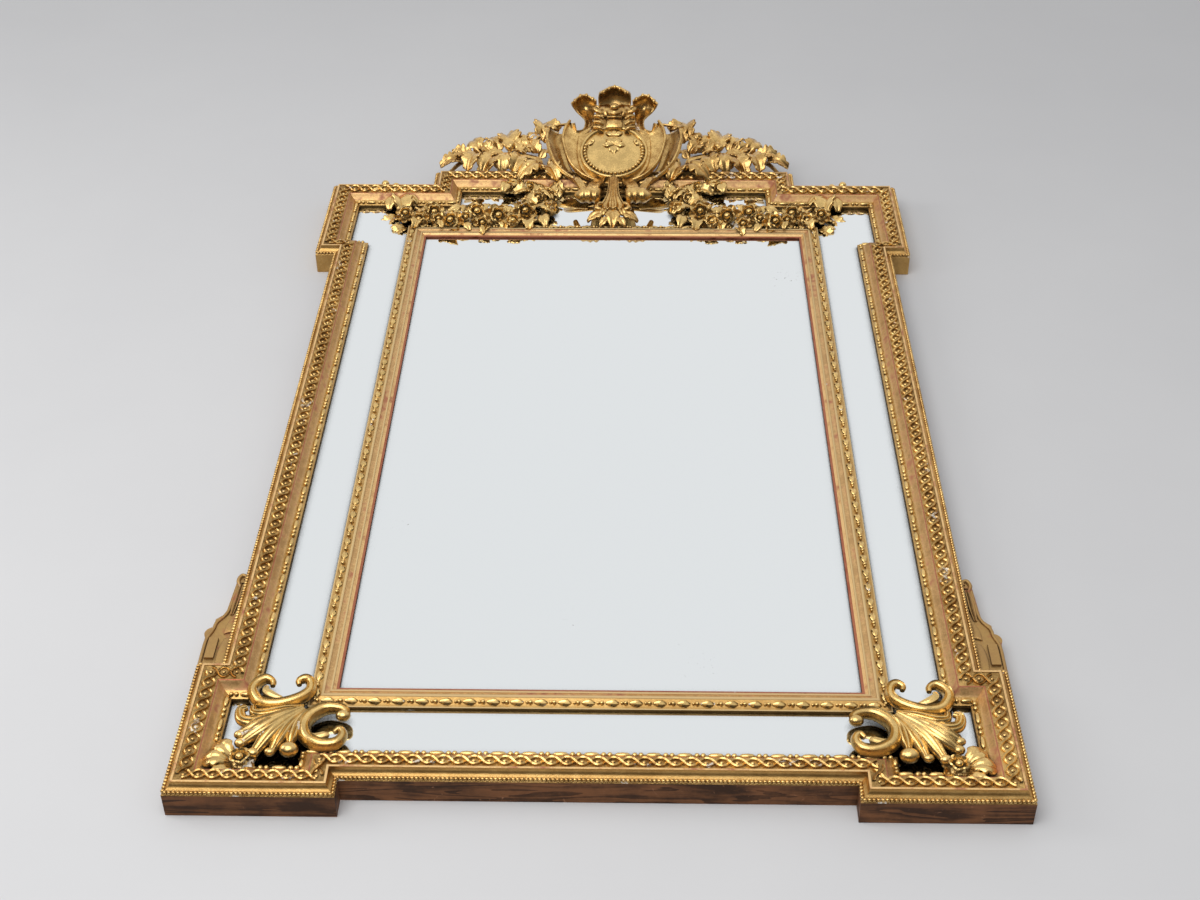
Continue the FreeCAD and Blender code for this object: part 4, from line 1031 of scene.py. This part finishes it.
class CarveCorners(MirrorOperator):
    """Carves the acanthus with its scrolls, the rosettes and the side consoles"""
    bl_idname = "wall_mirror.carve_corners"
    bl_label = "Carve corners"

    # How far each piece stands before the wall, and the rosette's place from the lower ear's corner
    leaf_off, flower_off, console_off = 29, 27, 22
    flower_in, flower_up = 80, 54

    def execute(self, context):
        self.acanthus()
        self.rosette()
        self.console()
        return {"FINISHED"}

    def acanthus(self):
        # Fluted lobes from the corner to their tips, with their widths
        lobes = (
            (((2, -8, 6), (22, -16, 9), (44, -24, 9), (58, -22, 8), (61, -11, 8)), 13),
            (((4, -8, 5), (30, -24, 8), (54, -36, 8), (70, -34, 9), (75, -20, 10), (68, -15, 10)), 17),
            (((4, -10, 6), (30, -32, 11), (52, -46, 11), (70, -54, 7)), 18),
            (((4, -10, 7), (28, -36, 12), (48, -54, 12), (68, -68, 5)), 19),
            (((2, -12, 7), (22, -40, 12), (36, -60, 11), (50, -82, 4)), 19),
            (((0, -14, 6), (14, -42, 11), (22, -62, 10), (30, -80, 4)), 16),
            (((-2, -14, 6), (5, -40, 10), (8, -58, 9), (9, -70, 8)), 15),
        )
        straight, curled = (0.35, 0.85, 1.05, 0.95, 0.55), (0.35, 0.8, 1, 0.9, 0.7, 0.5)
        parts = [sweep(points, width, 13, straight if len(points) < 6 else curled, 3, 28, 26)
                 for points, width in lobes]
        for x, y, z, radius in ((9, -77, 7, 11), (-47, -25, 9, 8.5), (70, -55, 7, 6.5), (67, -67, 6, 7),
                                (50, -81, 5, 7.5), (31, -79, 5, 6.5)):
            parts.append(ball(radius, 16, 10, (1.05, 0.9, 0.8), (x, y, z)))
        upper = ((44, 22, 9), (45, 29, 9), (54, 33, 9), (64, 25, 8), (66, 12, 7), (54, -5, 7), (32, -8, 8),
                 (10, 1, 8), (-2, 14, 8), (-1, 28, 9), (6, 33, 10), (13, 29, 10), (12, 23, 10))
        lower = ((-42, -30, 9), (-48, -27, 9), (-49, -19, 9), (-40, -14, 9), (-24, -14, 8), (-9, -26, 8),
                 (-3, -42, 7), (-9, -60, 7), (-26, -70, 7), (-44, -69, 8), (-51, -57, 9), (-46, -47, 9),
                 (-40, -52, 9))
        parts += [
            sweep(upper, 15, 15, (0.4, 0.6, 0.8, 0.9, 1.0, 1.05, 1.0, 0.95, 0.9, 0.85, 0.75, 0.6, 0.4),
                  3, 60, 22),
            sweep(lower, 16, 15, (0.4, 0.6, 0.75, 0.85, 1.0, 1.1, 1.15, 1.1, 1.0, 0.9, 0.75, 0.6, 0.4),
                  3, 60, 22),
        ]
        inner = ((-8, -54, 8), (-18, -60, 8), (-30, -57, 9), (-34, -54, 9))
        sprout = ((30, 2, 8), (42, 6, 9), (50, 12, 10), (50, 20, 10))
        parts += [sweep(points, 10, 10, (0.6, 1, 0.9, 0.5), 2, 20, 14) for points in (inner, sprout)]
        piece = joined("corner_leaf_right", parts, facing(INNER_X, INNER_LOW, self.leaf_off))
        finished_pair(piece, "bright", "corner_acanthus_")

    def rosette(self):
        parts = [flower(19, 18)]
        blade = leaf(38, 28, lobes=3.5, bite=0.35, arch=0.24, curl=0.22, cup=-0.15, vein=0.12)
        thickened(blade, 6, 1)
        for x, y, turn, level in ((8, 4, 48, 6), (10, -2, 92, 7), (6, -8, 140, 6), (-2, -8, 190, 4)):
            parts.append(copied(blade, spot(x, y, level, turn, 6)))
        discard(blade)
        plane = facing(EAR_X - self.flower_in, FOOT_UP + self.flower_up, self.flower_off)
        finished_pair(joined("corner_flower_right", parts, plane), "bright", "corner_rosette_")

    def console(self):
        def swollen(point, u, v):
            return 1.5 + 2.5 * (math.sin(math.pi * u) * math.sin(math.pi * v)) ** 0.5
        parts = [thickened(sheet(edges, swollen, 8, 14), 5, 1) for edges in (
            (((1, 5), (1, 32), (2, 60)), ((15, 5), (15.5, 36), (11, 58))),
            (((1, 68), (1, 84), (2, 106)), ((14, 64), (13, 80), (6, 100))),
        )]
        stalk = ((10, 100, 0), (8.5, 120, 1), (8, 140, 1), (7, 156, 1))
        border = ((33, 4, 0), (33.5, 30, 0), (33, 56, 0), (28, 73, 0), (26, 86, 0), (18, 99, 0),
                  (14.5, 112, 0), (13, 136, 0), (12, 158, 0))
        curl = ((8, 152, 1), (12, 162, 2), (9, 171, 3), (3, 169, 3), (4, 163, 3))
        parts += [
            sweep(stalk, 8, 6, (0.6, 1, 1, 0.8), 2, 20, 12),
            sweep(border, 5, 5, around=10),
            sweep(curl, 6, 7, (0.6, 1, 1, 0.9, 0.6), 0, 24, 12),
        ]
        plane = facing(STILE_X, LOWER_EAR_UP, self.console_off)
        finished_pair(joined("console_scroll_right", parts, plane), "bronze")


class FinishSolids(MirrorOperator):
    """Gives the solids that stay in sight their finish of wood, glass, bronze or iron"""
    bl_idname = "wall_mirror.finish_solids"
    bl_label = "Finish wood, glass and iron"

    # Finishes by how a solid's name starts, the first that fits
    finishes = (
        ("mirror_", "silvered"), ("carcase_stile", "carcase_up"), ("carcase_upper_ear", "dull"),
        ("carcase_", "carcase_across"), ("crest_corbel", "carcase_up"), ("crest_dowels", "carcase_up"),
        ("side_console", "bronze"), ("backboard", "pine_up"), ("cleat", "pine_up"), ("batten_nails", "iron"),
        ("batten", "pine_across"), ("hanger", "iron"), ("strap_screws", "iron"),
        ("inner_frame_screws", "iron"),
    )

    def execute(self, context):
        for name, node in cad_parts.items():
            for start, finish in self.finishes:
                if name.startswith(start):
                    node.data.materials.clear()
                    node.data.materials.append(material(finish))
                    break
        return {"FINISHED"}


class SetStage(MirrorOperator):
    """Sets the pale wall, the soft light and the camera"""
    bl_idname = "wall_mirror.set_stage"
    bl_label = "Set stage"

    def execute(self, context):
        self.wall()
        self.world(context)
        self.lights(context)
        self.camera(context)
        context.scene.view_settings.view_transform = "Standard"
        return {"FINISHED"}

    def wall(self):
        bpy.ops.object.select_all(action="DESELECT")
        bpy.ops.mesh.primitive_plane_add(
            size=14, location=(0, 0.0006, 1.0), rotation=(math.radians(90), 0, 0))
        wall = bpy.context.object
        wall.name = "pale_wall"
        bpy.ops.object.transform_apply()
        paint = Paint(bpy.data.materials.new("pale_wall"))
        where = paint.place()
        cloud = paint.noise(where, 2.0, 5.0)
        shade = paint.mixed((0.60, 0.60, 0.605), (0.66, 0.66, 0.66), cloud)
        front = paint.node("ShaderNodeBsdfPrincipled", sockets={"Base Color": shade, "Roughness": 0.8})
        clear = paint.node("ShaderNodeBsdfTransparent")
        behind = paint.node("ShaderNodeNewGeometry", output="Backfacing")
        both = paint.node("ShaderNodeMixShader", sockets={0: behind, 1: front, 2: clear})
        paint.node_out(both)
        wall.data.materials.append(paint.owner)
        # Light passes the wall, so that the mirror's back can be seen from behind
        wall.visible_diffuse = wall.visible_shadow = False

    def world(self, context):
        world = bpy.data.worlds.new("soft_room")
        context.scene.world = world
        paint = Paint(world)
        seen = [paint.node("ShaderNodeLightPath", output=name) for name in
                ("Is Camera Ray", "Is Glossy Ray", "Is Transmission Ray")]
        shown = paint.node("ShaderNodeMath", {"operation": "MAXIMUM"}, {0: seen[0], 1: seen[1] + seen[2]})
        # Glossy rays meet a room that is pale before the mirror and over it, and dark elsewhere
        where = paint.node("ShaderNodeTexCoord", output="Generated")
        towards = paint.node("ShaderNodeVectorMath", {"operation": "DOT_PRODUCT"},
                             {0: where, 1: (0.0, -0.76, 0.65)}, output="Value")
        room = paint.mixed((0.10, 0.09, 0.08), (0.92, 0.93, 0.94), paint.between(towards, 0.0, 0.8))
        pale = paint.mixed(room, (0.86, 0.87, 0.88), seen[0])
        color = paint.mixed((0.5, 0.5, 0.51), pale, shown)
        paint.node_out(paint.node("ShaderNodeBackground", sockets={"Color": color}), "ShaderNodeOutputWorld")

    def lights(self, context):
        # The lamps leave out the glass, which would show them as white blocks
        unlit = bpy.data.collections.new("unlit_glass")
        for name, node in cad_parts.items():
            if name.startswith("mirror_"):
                unlit.objects.link(node)
        for member in unlit.collection_objects:
            member.light_linking.link_state = "EXCLUDE"
        for name, place, size, power in (
                ("ceiling", (-0.6, -2.6, -1.5), 2.2, 48), ("window", (-2.8, -1.6, -0.3), 1.2, 18)):
            bpy.ops.object.light_add(type="AREA", location=place)
            lamp = context.object
            lamp.name = name
            lamp.data.size = size
            lamp.data.energy = power
            lamp.light_linking.receiver_collection = unlit
            lamp.rotation_euler = (Vector((0, 0, -0.2)) - Vector(place)).to_track_quat("-Z", "Y").to_euler()

    def camera(self, context):
        bpy.ops.object.camera_add()
        camera = context.object
        eye = (0.03923, -1.52748, -2.36945)
        # Angles over the mirror as it lies, which stand then turns upright
        yaw, pitch, roll = math.radians(-1.43), math.radians(37.718), math.radians(-0.503)
        right = Vector((math.cos(yaw), -math.sin(yaw), 0))
        ahead = Vector((math.sin(yaw) * math.cos(pitch), math.cos(yaw) * math.cos(pitch), -math.sin(pitch)))
        up = right.cross(ahead)
        right, up = right * math.cos(roll) + up * math.sin(roll), up * math.cos(roll) - right * math.sin(roll)
        stand = Matrix(((1, 0, 0), (0, 0, -1), (0, 1, 0)))
        axes = Matrix((stand @ right, stand @ up, stand @ -ahead)).transposed()
        camera.matrix_world = Matrix.Translation(eye) @ axes.to_4x4()
        camera.data.sensor_width = 36
        camera.data.lens = 51.882
        context.scene.camera = camera


class MirrorSizes(bpy.types.PropertyGroup):
    rope_period: bpy.props.FloatProperty(
        name="Rope twist", description="Length of one twist of the rope edge", default=0.0050, unit="LENGTH")
    guilloche_period: bpy.props.FloatProperty(
        name="Guilloche eye", description="Distance between two eyes of the guilloche",
        default=0.0174, unit="LENGTH")
    bar_period: bpy.props.FloatProperty(
        name="Bar and beads", description="Length of one bar with its beads", default=0.036, unit="LENGTH")
    husk_period: bpy.props.FloatProperty(
        name="Husk", description="Length of one husk with its beads on the inner frame",
        default=0.028, unit="LENGTH")


class MirrorColours(bpy.types.PropertyGroup):
    gold_light: bpy.props.FloatVectorProperty(
        name="Light gold", description="Gold where it is bright",
        default=(0.86, 0.58, 0.22), subtype="COLOR")
    gold_deep: bpy.props.FloatVectorProperty(
        name="Deep gold", description="Gold where it is tarnished",
        default=(0.46, 0.265, 0.085), subtype="COLOR")
    bole: bpy.props.FloatVectorProperty(
        name="Bole", description="Red clay under the gold", default=(0.36, 0.105, 0.055), subtype="COLOR")
    gesso: bpy.props.FloatVectorProperty(
        name="Gesso", description="White ground where the finish is chipped",
        default=(0.78, 0.74, 0.66), subtype="COLOR")
    # Umber is the colour of the grime and also of the painted shade in the gold's hollows
    umber: bpy.props.FloatVectorProperty(
        name="Umber", description="Grime in the hollows", default=(0.05, 0.03, 0.014), subtype="COLOR")
    carcase: bpy.props.FloatVectorProperty(
        name="Carcase", description="Stained wood of the carcase",
        default=(0.082, 0.033, 0.0125), subtype="COLOR")
    pine: bpy.props.FloatVectorProperty(
        name="Pine", description="Bare wood of the back", default=(0.36, 0.23, 0.12), subtype="COLOR")
    silver: bpy.props.FloatVectorProperty(
        name="Silver", description="Silvered glass", default=(0.80, 0.82, 0.825), subtype="COLOR")
    foxing: bpy.props.FloatVectorProperty(
        name="Foxing", description="Spots in the silvering", default=(0.30, 0.27, 0.22), subtype="COLOR")


STEPS = (
    GildMouldings, LayOrnamentRows, CarveCrest, GrowOak, HangGarlands, CarveCorners, FinishSolids, SetStage,
)


class MirrorPanel(bpy.types.Panel):
    """The mirror's sizes, colours and steps"""
    bl_idname = "VIEW3D_PT_wall_mirror"
    bl_label = "Gilt wall mirror"
    bl_space_type = "VIEW_3D"
    bl_region_type = "UI"
    bl_category = "Mirror"

    def draw(self, context):
        for group in (context.scene.mirror_sizes, context.scene.mirror_colours):
            for name in group.__annotations__:
                self.layout.prop(group, name)
        for step in STEPS:
            self.layout.operator(step.bl_idname)


CLASSES = (MirrorSizes, MirrorColours) + STEPS + (MirrorPanel,)


def register():
    for item in CLASSES:
        bpy.utils.register_class(item)
    bpy.types.Scene.mirror_sizes = bpy.props.PointerProperty(type=MirrorSizes)
    bpy.types.Scene.mirror_colours = bpy.props.PointerProperty(type=MirrorColours)


def unregister():
    del bpy.types.Scene.mirror_colours
    del bpy.types.Scene.mirror_sizes
    for item in reversed(CLASSES):
        bpy.utils.unregister_class(item)


def main():
    register()
    for step in STEPS:
        group, name = step.bl_idname.split(".")
        getattr(getattr(bpy.ops, group), name)()


if __name__ == "__main__":
    main()
